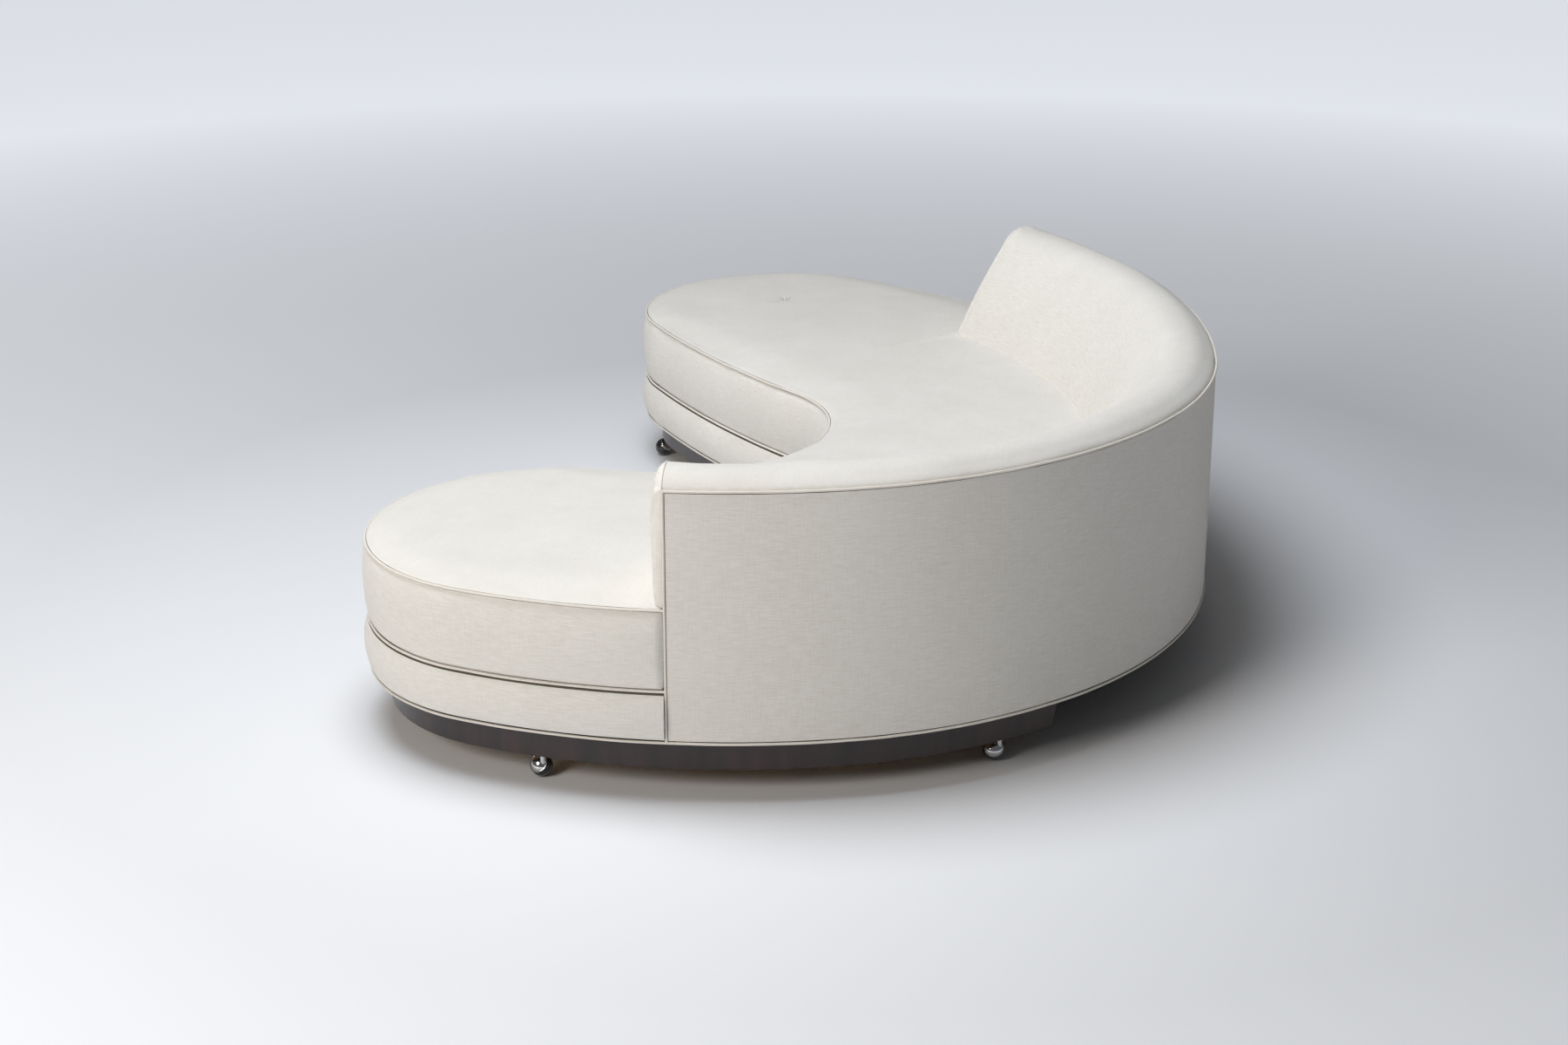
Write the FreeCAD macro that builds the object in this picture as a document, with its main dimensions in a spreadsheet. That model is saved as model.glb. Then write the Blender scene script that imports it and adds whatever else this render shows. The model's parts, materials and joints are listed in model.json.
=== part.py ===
import FreeCAD, Part
import math
import os

# A curved sofa: a kidney-shaped seat with two round lobes, a curved back along its rear,
# and two veneered plinths that stand on ball casters.
# Lengths are millimetres and angles degrees. +Y points to the sofa's back, +Z up, and the
# origin is under the middle of the whole sofa, on the floor.

Vector = FreeCAD.Vector
Rotation = FreeCAD.Rotation
Placement = FreeCAD.Placement
UP = Vector(0, 0, 1)

doc = FreeCAD.newDocument("CurvedSofa")
sheet = doc.addObject("Spreadsheet::Sheet", "Sizes")

SIZES = [
    # plan outline, a chain of tangent arcs
    ("near_lobe_radius", 424.5),
    ("back_side_radius", 1404.5),
    ("back_rear_radius", 1122),
    ("back_far_radius", 1856.5),
    ("far_lobe_radius", 415.5),
    ("side_turn", -9.35),
    ("rear_turn", 24.7),
    ("far_turn", 97.9),
    ("lobe_turn", 162.2),
    ("bay_radius", 410),
    ("bay_bearing", 179.5),
    ("bay_straight", 40),
    ("far_edge_radius", 3090),
    # where the back ends, seen from the centres of its first and last arcs
    ("near_end_turn", 10.2),
    ("far_end_turn", 139.6),
    # heights, from the floor up
    ("ball_diameter", 50),
    ("plinth_ground_gap", 60),
    ("plinth_tall", 78),
    ("dust_cover_thick", 1),
    ("rail_tall", 111),
    ("strap_thick", 2),
    ("deck_cloth_thick", 1),
    ("seat_side_tall", 188.5),
    ("seat_crown", 18),
    ("back_tall", 266.5),
    ("back_dome", 36),
    # upholstery
    ("welt_radius", 3),
    ("cover_thick", 3),
    ("seat_bulge", 9),
    ("seat_crown_reach", 110),
    ("band_bulge", 13),
    ("back_base_depth", 300),
    ("back_shoulder_depth", 148),
    ("back_shoulder_drop", 10),
    ("back_tuck", 16.5),
    ("end_pad_bulge", 28),
    ("end_pad_round", 30),
    # frame
    ("board_thick", 9),
    ("rail_wide", 50),
    ("post_deep", 40),
    ("post_wide", 45),
    ("post_spacing", 270),
    ("post_clearance", 0.5),
    ("top_rail_tall", 42),
    ("cross_rail_wide", 45),
    ("cross_rail_tall", 90),
    ("strap_wide", 50),
    ("strap_spacing", 150),
    ("dust_cover_inset", 10),
    # plinths
    ("plinth_inset", 42),
    ("skirt_thick", 6),
    ("plinth_board_thick", 15),
    ("near_plinth_turn", 54.9),
    ("near_plinth_offset", 53),
    ("far_plinth_turn", 125),
    ("far_plinth_offset", 257.5),
    ("plinth_slant", 24),
    ("block_wide", 22),
    ("block_lift", 4),
    ("block_clearance", 1),
    # casters
    ("caster_trail", 10),
    ("caster_side", 12),
    ("axle_tilt", 40),
    ("hood_latitude", 30),
    ("wheel_latitude", 27),
    ("hood_thick", 1.8),
    ("bead_radius", 1.3),
    ("hub_radius", 6),
    ("boss_radius", 6.5),
    ("axle_radius", 3),
    ("axle_clearance", 0.05),
    ("axle_reach", 18),
    ("stem_radius", 5),
    ("stem_clearance", 0.05),
    ("stem_grip", 34),
    ("stem_collar_radius", 8),
    ("stem_collar_thick", 3),
    ("running_gap", 0.3),
    ("socket_wall", 2),
    ("socket_flange_radius", 10),
    ("socket_flange_thick", 1.5),
    # bolts that hold the plinths to the cross rails
    ("bolt_radius", 4),
    ("bolt_head_radius", 7),
    ("bolt_head_thick", 5),
    ("bolt_bite", 40),
    ("bolt_edge", 140),
    ("bolt_pitch", 380),
]

for row, (alias, value) in enumerate(SIZES, start=1):
    sheet.set("A%d" % row, alias)
    sheet.set("B%d" % row, str(value))
    sheet.setAlias("B%d" % row, alias)
doc.recompute()


def size(alias):
    """A driving dimension, read from the sheet."""
    return float(getattr(sheet, alias))


def unit(turn):
    """Unit vector in plan, a turn counterclockwise from +X."""
    angle = math.radians(turn)
    return Vector(math.cos(angle), math.sin(angle), 0)


def turn_of(vector):
    """Counterclockwise turn of a plan vector from +X."""
    return math.degrees(math.atan2(vector.y, vector.x))


# Heights that follow from the driving ones

WELT = size("welt_radius")
PLINTH_TOP = size("plinth_ground_gap") + size("plinth_tall")
FRAME_BOTTOM = PLINTH_TOP + size("dust_cover_thick")
RAIL_TOP = FRAME_BOTTOM + size("rail_tall")
DECK_TOP = RAIL_TOP + 2 * size("strap_thick") + size("deck_cloth_thick")
MID_WELT = DECK_TOP + WELT
SEAT_WELT = DECK_TOP + size("seat_side_tall")
SEAT_TOP = SEAT_WELT + size("seat_crown")
BACK_FOOT = SEAT_TOP - size("back_tuck")
BACK_WELT = SEAT_WELT + size("back_tall")
BACK_TOP = BACK_WELT + size("back_dome")
BOARD_TOP = BACK_WELT - WELT - size("board_thick")
TOP_RAIL_LOW = BOARD_TOP - size("top_rail_tall")
BLOCK_BOTTOM = size("plinth_ground_gap") + size("block_lift")

# Depths from the outline to the frame's layers

RAIL_OUT = size("cover_thick") + size("board_thick")
RAIL_IN = RAIL_OUT + size("rail_wide")
POST_OUT = RAIL_OUT + size("post_clearance")
POST_IN = POST_OUT + size("post_deep")
DECK_EDGE = POST_IN + size("post_clearance")
SKIRT_IN = size("plinth_inset") + size("skirt_thick")
STEM_INSET = SKIRT_IN + size("block_clearance") + size("block_wide") / 2


class Bend:
    """An arc of the plan outline. A hollow arc, such as the bay's, grows as the outline shrinks."""

    def __init__(self, centre, radius, start, end):
        self.centre = centre
        self.radius = radius
        self.start = start
        self.end = end

    def point(self, turn, inset, height):
        shrink = inset if self.end > self.start else -inset
        return self.centre + unit(turn) * (self.radius - shrink) + UP * height

    def edge(self, inset, height, start=None, end=None):
        first = self.start if start is None else start
        last = self.end if end is None else end
        stops = [self.point(turn, inset, height) for turn in (first, (first + last) / 2, last)]
        return Part.Arc(*stops).toShape()

    def slip(self, length):
        """The turn that a length takes along this arc."""
        return math.degrees(length / self.radius)


class Straight:
    """A straight stretch of the plan outline, with the sofa on its left."""

    def __init__(self, first, last):
        self.first = first
        self.last = last

    def edge(self, inset, height):
        inward = UP.cross(self.last - self.first).normalize()
        move = inward * inset + UP * height
        return Part.LineSegment(self.first + move, self.last + move).toShape()


def after(turn, limit):
    """The same turn, raised by whole circles until it is past a limit."""
    while turn < limit:
        turn += 360
    return turn


def make_outline():
    """The plan outline, counterclockwise from the near lobe, centred on the origin."""
    turns = [size(a) for a in ("side_turn", "rear_turn", "far_turn", "lobe_turn")]
    radii = [size(a) for a in ("near_lobe_radius", "back_side_radius", "back_rear_radius",
                               "back_far_radius", "far_lobe_radius")]
    centres = [Vector(0, 0, 0)]
    for turn, before, behind in zip(turns, radii, radii[1:]):
        centres.append(centres[-1] + unit(turn) * (before - behind))
    near = centres[0]
    far = centres[-1]
    bay_radius = size("bay_radius")
    edge_radius = size("far_edge_radius")
    reach = math.hypot(radii[0] + bay_radius, size("bay_straight"))
    bay = near + unit(size("bay_bearing")) * reach

    # the far edge's arc runs on smoothly from the far lobe and turns into the hollow bay
    across = bay - far
    to_far = edge_radius - radii[-1]
    to_bay = edge_radius + bay_radius
    along = (to_far ** 2 - to_bay ** 2 + across.Length ** 2) / (2 * across.Length)
    rise = math.sqrt(to_far ** 2 - along ** 2)
    axis = across * (1 / across.Length)
    edge_centre = far + axis * along + UP.cross(axis) * rise

    # the short straight touches the bay and the near lobe on opposite sides
    swing = math.degrees(math.acos((radii[0] + bay_radius) / reach))
    touch = size("bay_bearing") + swing
    near_touch = near + unit(touch) * radii[0]
    bay_touch = bay - unit(touch) * bay_radius

    far_out = after(turn_of(far - edge_centre), turns[-1])
    edge_out = after(turn_of(bay - edge_centre), far_out)
    pieces = [Bend(near, radii[0], touch - 360, turns[0])]
    for index in range(1, 4):
        pieces.append(Bend(centres[index], radii[index], turns[index - 1], turns[index]))
    pieces.append(Bend(far, radii[-1], turns[-1], far_out))
    pieces.append(Bend(edge_centre, edge_radius, far_out, edge_out))
    pieces.append(Bend(bay, bay_radius, edge_out - 180, turn_of(bay_touch - bay)))
    pieces.append(Straight(bay_touch, near_touch))
    centre_outline(pieces)
    return pieces


def centre_outline(pieces):
    """Move the outline so that the finished sofa's box is centred on the origin."""
    box = Part.Wire([piece.edge(0, 0) for piece in pieces]).BoundBox
    # the deck band stands proud at the front and both sides, and only the welt does at the rear
    front = box.YMin - size("band_bulge")
    rear = box.YMax + WELT
    move = Vector(-box.Center.x, -(front + rear) / 2, 0)
    for piece in pieces:
        if isinstance(piece, Bend):
            piece.centre = piece.centre + move
        else:
            piece.first = piece.first + move
            piece.last = piece.last + move


OUTLINE = make_outline()
NEAR_LOBE, BACK_SIDE, BACK_REAR, BACK_FAR, FAR_LOBE, FAR_EDGE, BAY, BAY_STRAIGHT = OUTLINE
# Longer than the sofa and taller than its back: for tools that cut right through
LONG = Part.Wire([piece.edge(0, 0) for piece in OUTLINE]).BoundBox.DiagonalLength
NEAR_END = size("near_end_turn")
FAR_END = size("far_end_turn")


def ring(inset, height):
    """Closed outline, drawn in by an inset, at a height."""
    return Part.Wire([piece.edge(inset, height) for piece in OUTLINE])


def back_run(margin):
    """Arcs of the back with their first and last turns, made longer at both ends by a margin."""
    return [
        (BACK_SIDE, NEAR_END - BACK_SIDE.slip(margin), BACK_SIDE.end),
        (BACK_REAR, BACK_REAR.start, BACK_REAR.end),
        (BACK_FAR, BACK_FAR.start, FAR_END + BACK_FAR.slip(margin)),
    ]


def back_edges(inset, height):
    """Open path along the back, between the upright welts at its ends."""
    return [bend.edge(inset, height, first, last) for bend, first, last in back_run(-WELT)]


def front_edges(inset, height):
    """Open path round both lobes and the bay, from the back's far end to its near end."""
    first = BACK_FAR.edge(inset, height, FAR_END + BACK_FAR.slip(WELT), BACK_FAR.end)
    last = BACK_SIDE.edge(inset, height, BACK_SIDE.start, NEAR_END - BACK_SIDE.slip(WELT))
    middle = [piece.edge(inset, height) for piece in (FAR_LOBE, FAR_EDGE, BAY, BAY_STRAIGHT, NEAR_LOBE)]
    return [first] + middle + [last]


# Ways to make a solid

NODES = []


def keep(item):
    """Mark an object as a sub-part that is written to its own file."""
    NODES.append(item)
    return item


def feature(label, shape):
    """Object whose shape is worked out here."""
    item = doc.addObject("Part::Feature", label)
    item.Shape = shape
    item.Label = label
    return item


def primitive(kind, label, sizes, placement=None):
    """Part primitive; each size is a formula on the sheet or a number."""
    item = doc.addObject(kind, label)
    for name, value in sizes.items():
        if isinstance(value, str):
            item.setExpression(name, value)
        else:
            setattr(item, name, value)
    if placement:
        item.Placement = placement
    return item


def two_shapes(kind, label, base, tool):
    """Part::Cut or Part::Common of two objects."""
    item = doc.addObject(kind, label)
    item.Base = base
    item.Tool = tool
    item.Label = label
    return item


def cut(label, base, tool):
    return two_shapes("Part::Cut", label, base, tool)


def common(label, base, tool):
    return two_shapes("Part::Common", label, base, tool)


def fuse(label, members):
    item = doc.addObject("Part::MultiFuse", label)
    item.Shapes = members
    item.Label = label
    return item


def group(label, members):
    """Like pieces that share one node, as separate solids."""
    item = doc.addObject("Part::Compound", label)
    item.Links = members
    item.Label = label
    return item


def loft(rings):
    """Closed solid through a stack of (height, inset) rings of the outline."""
    return Part.makeLoft([ring(inset, height) for height, inset in rings], True, True)


def block(inset, bottom, top):
    """Upright solid over the outline drawn in by an inset."""
    return Part.Face(ring(inset, bottom)).extrude(UP * (top - bottom))


def swept(section, margin):
    """Solid along the back: a closed section turned about each arc's centre."""
    solids = []
    for bend, first, last in back_run(margin):
        face = Part.Face(section(bend, first))
        solids.append(face.revolve(bend.centre, UP, last - first))
    return solids[0].fuse(solids[1:]).removeSplitter().Solids[0]


def bar(inset_out, inset_in, bottom, top):
    """Rectangular section for a sweep along the back."""
    corners = [(inset_out, bottom), (inset_in, bottom), (inset_in, top), (inset_out, top)]

    def section(bend, turn):
        stops = [bend.point(turn, inset, height) for inset, height in corners]
        return Part.makePolygon(stops + stops[:1])

    return section


def welt(edges):
    """Round piping along a path."""
    start = edges[0].firstVertex(True).Point
    along = edges[0].tangentAt(edges[0].FirstParameter)
    circle = Part.Wire(Part.makeCircle(WELT, start, along))
    return Part.Wire(edges).makePipeShell([circle], True, False)


def largest(shape):
    """The biggest solid of a shape, without the crumbs of a cut."""
    return max(shape.Solids, key=lambda solid: solid.Volume)


# Back: domed top, raked face, and padded ends

DOME_CREST = size("back_shoulder_depth") / 2
SHOULDER = BACK_WELT - size("back_shoulder_drop")
RAKE = (size("back_base_depth") - size("back_shoulder_depth")) / (SHOULDER - SEAT_TOP)


def face_line(bend, turn, shrink):
    """Domed top and raked face of the back, from its rear edge to its foot on the seat.

    A shrink draws it in by about that much all over, for the foam under the cover."""
    def spot(inset, height):
        return bend.point(turn, inset, height)

    dome = size("back_dome")
    depth = size("back_shoulder_depth")
    brow = spot(WELT + shrink, BACK_WELT - shrink / 2)
    # each arc of the dome passes through a point that stands this far in and up its height
    rear = spot(DOME_CREST * 0.42 + shrink * 0.6, BACK_WELT + dome * 0.74 - shrink * 0.8)
    crest = spot(DOME_CREST, BACK_TOP - shrink)
    front = spot(depth * 0.8 - shrink * 0.4, BACK_WELT + dome * 0.66 - shrink * 0.9)
    shoulder = spot(depth - shrink, SHOULDER - shrink * 0.3)
    base = size("back_base_depth") + RAKE * size("back_tuck") - shrink * math.hypot(1, RAKE)
    foot = spot(base, BACK_FOOT)
    edges = [
        Part.Arc(brow, rear, crest).toShape(),
        Part.Arc(crest, front, shoulder).toShape(),
        Part.makeLine(shoulder, foot),
    ]
    return edges, brow, foot


def closed(edges, stops):
    """Wire of some edges, closed by straight lines through the stops that follow them."""
    return Part.Wire(edges + [Part.makeLine(a, b) for a, b in zip(stops, stops[1:])])


def padded_section(shrink):
    """Section of the padding, which fits over the posts and the top rail."""
    def section(bend, turn):
        edges, brow, foot = face_line(bend, turn, shrink)
        inner = [bend.point(turn, POST_IN, BACK_FOOT), bend.point(turn, POST_IN, BOARD_TOP)]
        rear = bend.point(turn, WELT + shrink, BOARD_TOP)
        return closed(edges, [foot] + inner + [rear, brow])

    return section


def end_section(bend, turn, shrink):
    """Full section of the back at its ends, down to the seat."""
    edges, brow, foot = face_line(bend, turn, shrink)
    toe = bend.point(turn, WELT + shrink, BACK_FOOT)
    return closed(edges, [foot, toe, brow])


def make_end_pad(label, bend, turn, outward):
    """Padded end of the back: its section moves outward and is drawn in more and more."""
    along = UP.cross(unit(turn)) * outward * size("end_pad_bulge")
    wires = []
    for reach, drawn_in in ((0, 0), (0.35, 0.05), (0.64, 0.2), (0.86, 0.47), (1, 1)):
        wire = end_section(bend, turn, size("end_pad_round") * drawn_in)
        wires.append(wire.translated(along * reach))
    return keep(feature(label, Part.makeLoft(wires, True, True)))


def make_posts():
    """Upright posts from the rim rail to the top rail, spread evenly along each arc."""
    posts = []
    for bend, first, last in back_run(-size("post_wide")):
        count = max(1, round(math.radians(last - first) * bend.radius / size("post_spacing")))
        for index in range(count):
            turn = first + (last - first) * (index + 0.5) / count
            side = UP.cross(unit(turn)) * (size("post_wide") / 2)
            place = Placement(bend.point(turn, POST_IN, RAIL_TOP) - side, Rotation(UP, turn))
            sizes = {"Length": "Sizes.post_deep", "Width": "Sizes.post_wide",
                     "Height": TOP_RAIL_LOW - RAIL_TOP}
            posts.append(primitive("Part::Box", "post", sizes, place))
    keep(group("back_posts", posts))


def make_upright_welts():
    """Piping up both ends of the back, rounded over at its top."""
    low = FRAME_BOTTOM + WELT
    pieces = []
    for bend, turn in ((BACK_SIDE, NEAR_END), (BACK_FAR, FAR_END)):
        foot = Placement(bend.point(turn, 0, low), Rotation())
        top = Placement(bend.point(turn, 0, BACK_WELT), Rotation())
        sizes = {"Radius": "Sizes.welt_radius", "Height": BACK_WELT - low}
        stalk = primitive("Part::Cylinder", "upright_welt", sizes, foot)
        tip = primitive("Part::Sphere", "welt_tip", {"Radius": "Sizes.welt_radius"}, top)
        pieces.append(fuse("upright_welt_whole", [stalk, tip]))
    keep(group("back_end_welts", pieces))


def make_back():
    skin = size("cover_thick")
    whole = swept(padded_section(0), 0)
    foam = swept(padded_section(skin), 0)
    keep(feature("back_foam", foam))
    keep(feature("back_inner_cover", largest(whole.cut(foam))))
    panel = bar(0, skin, FRAME_BOTTOM + WELT, BACK_WELT - WELT)
    keep(feature("back_outer_panel", swept(panel, -WELT)))
    keep(feature("back_board", swept(bar(skin, RAIL_OUT, FRAME_BOTTOM + WELT, BOARD_TOP), -WELT)))
    keep(feature("back_top_rail", swept(bar(RAIL_OUT, POST_IN, TOP_RAIL_LOW, BOARD_TOP), -WELT)))
    pads = [
        make_end_pad("near_end_pad", BACK_SIDE, NEAR_END, -1),
        make_end_pad("far_end_pad", BACK_FAR, FAR_END, 1),
    ]
    make_posts()
    make_upright_welts()
    keep(feature("back_top_welt", welt(back_edges(0, BACK_WELT))))
    return whole, pads


# Seat

def seat_rings(skin):
    """Side and crowned top of the seat, or of the foam that lies a skin's thickness inside."""
    bulge = size("seat_bulge")
    low = MID_WELT + WELT
    high = SEAT_WELT - WELT
    tall = high - low
    side = [(DECK_TOP, WELT), (low, WELT), (low + 0.04 * tall, WELT / 4),
            (low + 0.13 * tall, -0.7 * bulge), (low + 0.33 * tall, -bulge),
            (high - 0.33 * tall, -bulge), (high - 0.13 * tall, -0.6 * bulge),
            (high - 0.04 * tall, WELT / 4), (high, WELT)]
    rings = [(height, inset + skin) for height, inset in side]
    rise = size("seat_crown") - WELT
    reach = size("seat_crown_reach") - WELT
    for share in (0, 0.1, 0.3, 0.62, 1):
        height = SEAT_WELT + WELT + rise * (1 - (1 - share) ** 2)
        rings.append((height - skin, WELT + reach * share + skin))
    return rings


def make_seat(padded_back, pads):
    """Seat foam and its cover, both cut out round the back."""
    whole = loft(seat_rings(0))
    core = loft(seat_rings(size("cover_thick")))
    past = size("seat_bulge") + WELT
    post_zone = swept(bar(-past, DECK_EDGE, DECK_TOP - past, SEAT_TOP + past), WELT)
    taken = post_zone.fuse([padded_back] + [pad.Shape for pad in pads])
    keep(feature("seat_foam", largest(core.cut(taken))))
    keep(feature("seat_cover", largest(whole.cut(core).cut(taken))))
    keep(feature("seat_top_welt", welt(front_edges(0, SEAT_WELT))))
    keep(feature("seat_mid_welt", welt(front_edges(0, MID_WELT))))


def make_deck_band():
    """Padded border under the seat, round the front; the back's panel takes its place behind."""
    bulge = size("band_bulge")
    low = FRAME_BOTTOM + WELT
    tall = DECK_TOP - low
    rings = [(low, 0), (low + 0.08 * tall, -0.35 * bulge), (low + 0.22 * tall, -0.75 * bulge),
             (low + 0.42 * tall, -bulge), (low + 0.64 * tall, -bulge), (low + 0.84 * tall, -0.6 * bulge),
             (low + 0.95 * tall, -0.1 * bulge), (DECK_TOP, WELT / 2)]
    past = bulge + WELT
    band = loft(rings).cut(block(RAIL_OUT, low - past, DECK_TOP + past))
    behind = swept(bar(-past, RAIL_OUT + WELT, low - past, DECK_TOP + past), WELT)
    keep(feature("deck_band", largest(band.cut(behind))))
    around = [piece.edge(0, FRAME_BOTTOM) for piece in OUTLINE]
    keep(feature("bottom_welt", welt(around)))


# Boards and rails that follow the outline

PLAN = feature("plan_outline", ring(0, 0))


def board(label, inset, bottom, thick):
    """Flat board over the outline drawn in by an inset; its thickness is a formula on the sheet."""
    edge = doc.addObject("Part::Offset2D", label + "_edge")
    edge.Source = PLAN
    edge.Value = -inset
    plate = doc.addObject("Part::Extrusion", label)
    plate.Label = label
    plate.Base = edge
    plate.DirMode = "Custom"
    plate.Dir = UP
    plate.Solid = True
    plate.setExpression("LengthFwd", thick)
    plate.Placement.Base = UP * bottom
    return plate


# Cross rails fan out from the bay; the first two and last two carry the plinths' bolts
NEAR_FAN = (4, 36)
MIDDLE_FAN = (66, 94)
FAR_FAN = (124, 154)
# One more rail lies straight across each lobe, in front of the lobe's middle, and past its sides
LOBE_RAIL_SHARE = {"near": 0.3, "far": 0.15}
LOBE_RAIL_REACH = 1.2
LOBES = {"near": NEAR_LOBE, "far": FAR_LOBE}


def bolt_spots(name, fan):
    """Where bolts come up through a plinth's board into the rails above it."""
    first = BAY.radius + size("bolt_edge")
    spots = []
    for turn in fan:
        for distance in (first, first + size("bolt_pitch")):
            spots.append(BAY.centre + unit(turn) * distance)
    lobe = LOBES[name]
    middle = lobe.centre - Vector(0, lobe.radius * LOBE_RAIL_SHARE[name], 0)
    for side in (-0.5, 0.5):
        spots.append(middle + Vector(lobe.radius * side, 0, 0))
    return spots


BOLT_SPOTS = bolt_spots("near", NEAR_FAN) + bolt_spots("far", FAR_FAN)
BOARD_LOW = PLINTH_TOP - size("plinth_board_thick")


def make_bolts():
    """Bolts, and the holes that they need."""
    holes = []
    bolts = []
    shank_tall = "Sizes.plinth_board_thick + Sizes.dust_cover_thick + Sizes.bolt_bite"
    for spot in BOLT_SPOTS:
        place = Placement(spot + UP * BOARD_LOW, Rotation())
        sizes = {"Radius": "Sizes.bolt_radius", "Height": shank_tall}
        holes.append(primitive("Part::Cylinder", "bolt_hole", sizes, place))
        shank = primitive("Part::Cylinder", "shank", sizes, place)
        sizes = {"Radius": "Sizes.bolt_head_radius", "Height": "Sizes.bolt_head_thick"}
        under = Placement(spot + UP * (BOARD_LOW - size("bolt_head_thick")), Rotation())
        head = primitive("Part::Cylinder", "head", sizes, under)
        bolts.append(fuse("bolt", [shank, head]))
    keep(group("plinth_bolts", bolts))
    return group("bolt_holes", holes)


def cross_rail(start, turn, length):
    """Rail from a point, level with the bottom of the rim rail."""
    side = UP.cross(unit(turn)) * (size("cross_rail_wide") / 2)
    place = Placement(start - side + UP * FRAME_BOTTOM, Rotation(UP, turn))
    sizes = {"Length": length, "Width": "Sizes.cross_rail_wide", "Height": "Sizes.cross_rail_tall"}
    return primitive("Part::Box", "rail", sizes, place)


def make_frame(holes):
    whole = board("rim_rail_whole", RAIL_OUT, FRAME_BOTTOM, "Sizes.rail_tall")
    hollow = board("rim_rail_hollow", RAIL_IN, FRAME_BOTTOM, "Sizes.rail_tall")
    keep(cut("rim_rail", whole, hollow))
    rails = [cross_rail(BAY.centre, turn, LONG) for turn in NEAR_FAN + MIDDLE_FAN + FAR_FAN]
    for name, lobe in LOBES.items():
        ahead = Vector(-LOBE_RAIL_REACH, -LOBE_RAIL_SHARE[name], 0) * lobe.radius
        rails.append(cross_rail(lobe.centre + ahead, 0, 2 * LOBE_RAIL_REACH * lobe.radius))
    room = board("rail_room", RAIL_IN, FRAME_BOTTOM, "Sizes.rail_tall")
    clipped = common("rails_clipped", group("rails", rails), room)
    keep(cut("cross_rails", clipped, holes))


def make_deck(holes):
    """Two layers of webbing under a cloth, and the dust cover under the frame."""
    box = PLAN.Shape.BoundBox
    pitch = size("strap_spacing")
    sizes = {"Length": 2 * LONG, "Width": "Sizes.strap_wide", "Height": "Sizes.strap_thick"}
    straps = []
    for index in range(1, int(box.XLength / pitch)):
        base = Vector(box.XMin + index * pitch, -LONG, RAIL_TOP)
        straps.append(primitive("Part::Box", "strap", sizes, Placement(base, Rotation(UP, 90))))
    for index in range(1, int(box.YLength / pitch)):
        base = Vector(-LONG, box.YMin + index * pitch, RAIL_TOP + size("strap_thick"))
        straps.append(primitive("Part::Box", "strap", sizes, Placement(base, Rotation())))
    room = board("strap_room", DECK_EDGE, RAIL_TOP, "2 * Sizes.strap_thick")
    keep(common("webbing_straps", group("straps", straps), room))
    cloth_low = RAIL_TOP + 2 * size("strap_thick")
    keep(board("deck_cloth", DECK_EDGE, cloth_low, "Sizes.deck_cloth_thick"))
    cloth = board("dust_cloth", size("dust_cover_inset"), PLINTH_TOP, "Sizes.dust_cover_thick")
    keep(cut("dust_cover", cloth, holes))


# Plinths

def half_space(label, turn, side, offset):
    """Everything on one side of a leaning plane, so that a plinth is longer at its top.

    Half-way up the plinth, the plane lies at an offset from the bay's centre."""
    outward = UP.cross(unit(turn)) * side
    lean = math.degrees(math.atan2(size("plinth_slant"), size("plinth_tall")))
    turned = Rotation(UP, turn_of(outward)).multiply(Rotation(Vector(0, 1, 0), lean))
    middle = BAY.centre + outward * offset
    middle = middle + UP * (size("plinth_ground_gap") + size("plinth_tall") / 2)
    # the middle of the box's end face comes to lie there
    corner = middle - turned.multVec(Vector(LONG, LONG, LONG))
    sizes = {"Length": LONG, "Width": 2 * LONG, "Height": 2 * LONG}
    return primitive("Part::Box", label, sizes, Placement(corner, turned))


SOCKET_OUT = size("stem_radius") + size("stem_clearance") + size("socket_wall")


def make_blocks(name, stems):
    """Wooden blocks under a plinth's board, bored for the caster sockets."""
    half = size("block_wide") / 2
    cubes = []
    bores = []
    for stem, turn in stems:
        spin = Rotation(UP, turn)
        place = Placement(stem + UP * BLOCK_BOTTOM - spin.multVec(Vector(half, half, 0)), spin)
        sizes = {"Length": "Sizes.block_wide", "Width": "Sizes.block_wide",
                 "Height": BOARD_LOW - BLOCK_BOTTOM}
        cubes.append(primitive("Part::Box", "cube", sizes, place))
        sizes = {"Radius": SOCKET_OUT, "Height": "Sizes.stem_grip"}
        place = Placement(stem + UP * BLOCK_BOTTOM, Rotation())
        bores.append(primitive("Part::Cylinder", "bore", sizes, place))
    keep(cut(name + "_plinth_blocks", group(name + "_cubes", cubes), group(name + "_bores", bores)))


def make_plinth(name, side, casters, holes):
    """Skirt, board, blocks and caster sockets of one plinth."""
    turn = size(name + "_plinth_turn")
    offset = size(name + "_plinth_offset")
    low = size("plinth_ground_gap")
    outer = board(name + "_outer", size("plinth_inset"), low, "Sizes.plinth_tall")
    inner = board(name + "_inner", SKIRT_IN, low, "Sizes.plinth_tall")
    shell = common(name + "_shell", outer, half_space(name + "_side", turn, side, offset))
    inside = half_space(name + "_inside", turn, side, offset - size("skirt_thick"))
    room = common(name + "_room", inner, inside)
    keep(cut(name + "_plinth_skirt", shell, room))
    deck = board(name + "_deck", SKIRT_IN, BOARD_LOW, "Sizes.plinth_board_thick")
    deck_part = common(name + "_deck_part", deck, inside)
    keep(cut(name + "_plinth_board", deck_part, holes))
    make_blocks(name, [(stem, turn) for stem, turn, socket in casters])
    keep(group(name + "_caster_sockets", [socket for stem, turn, socket in casters]))


# Casters: a ball cut by a leaning plane into a metal hood above and a wheel below

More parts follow.
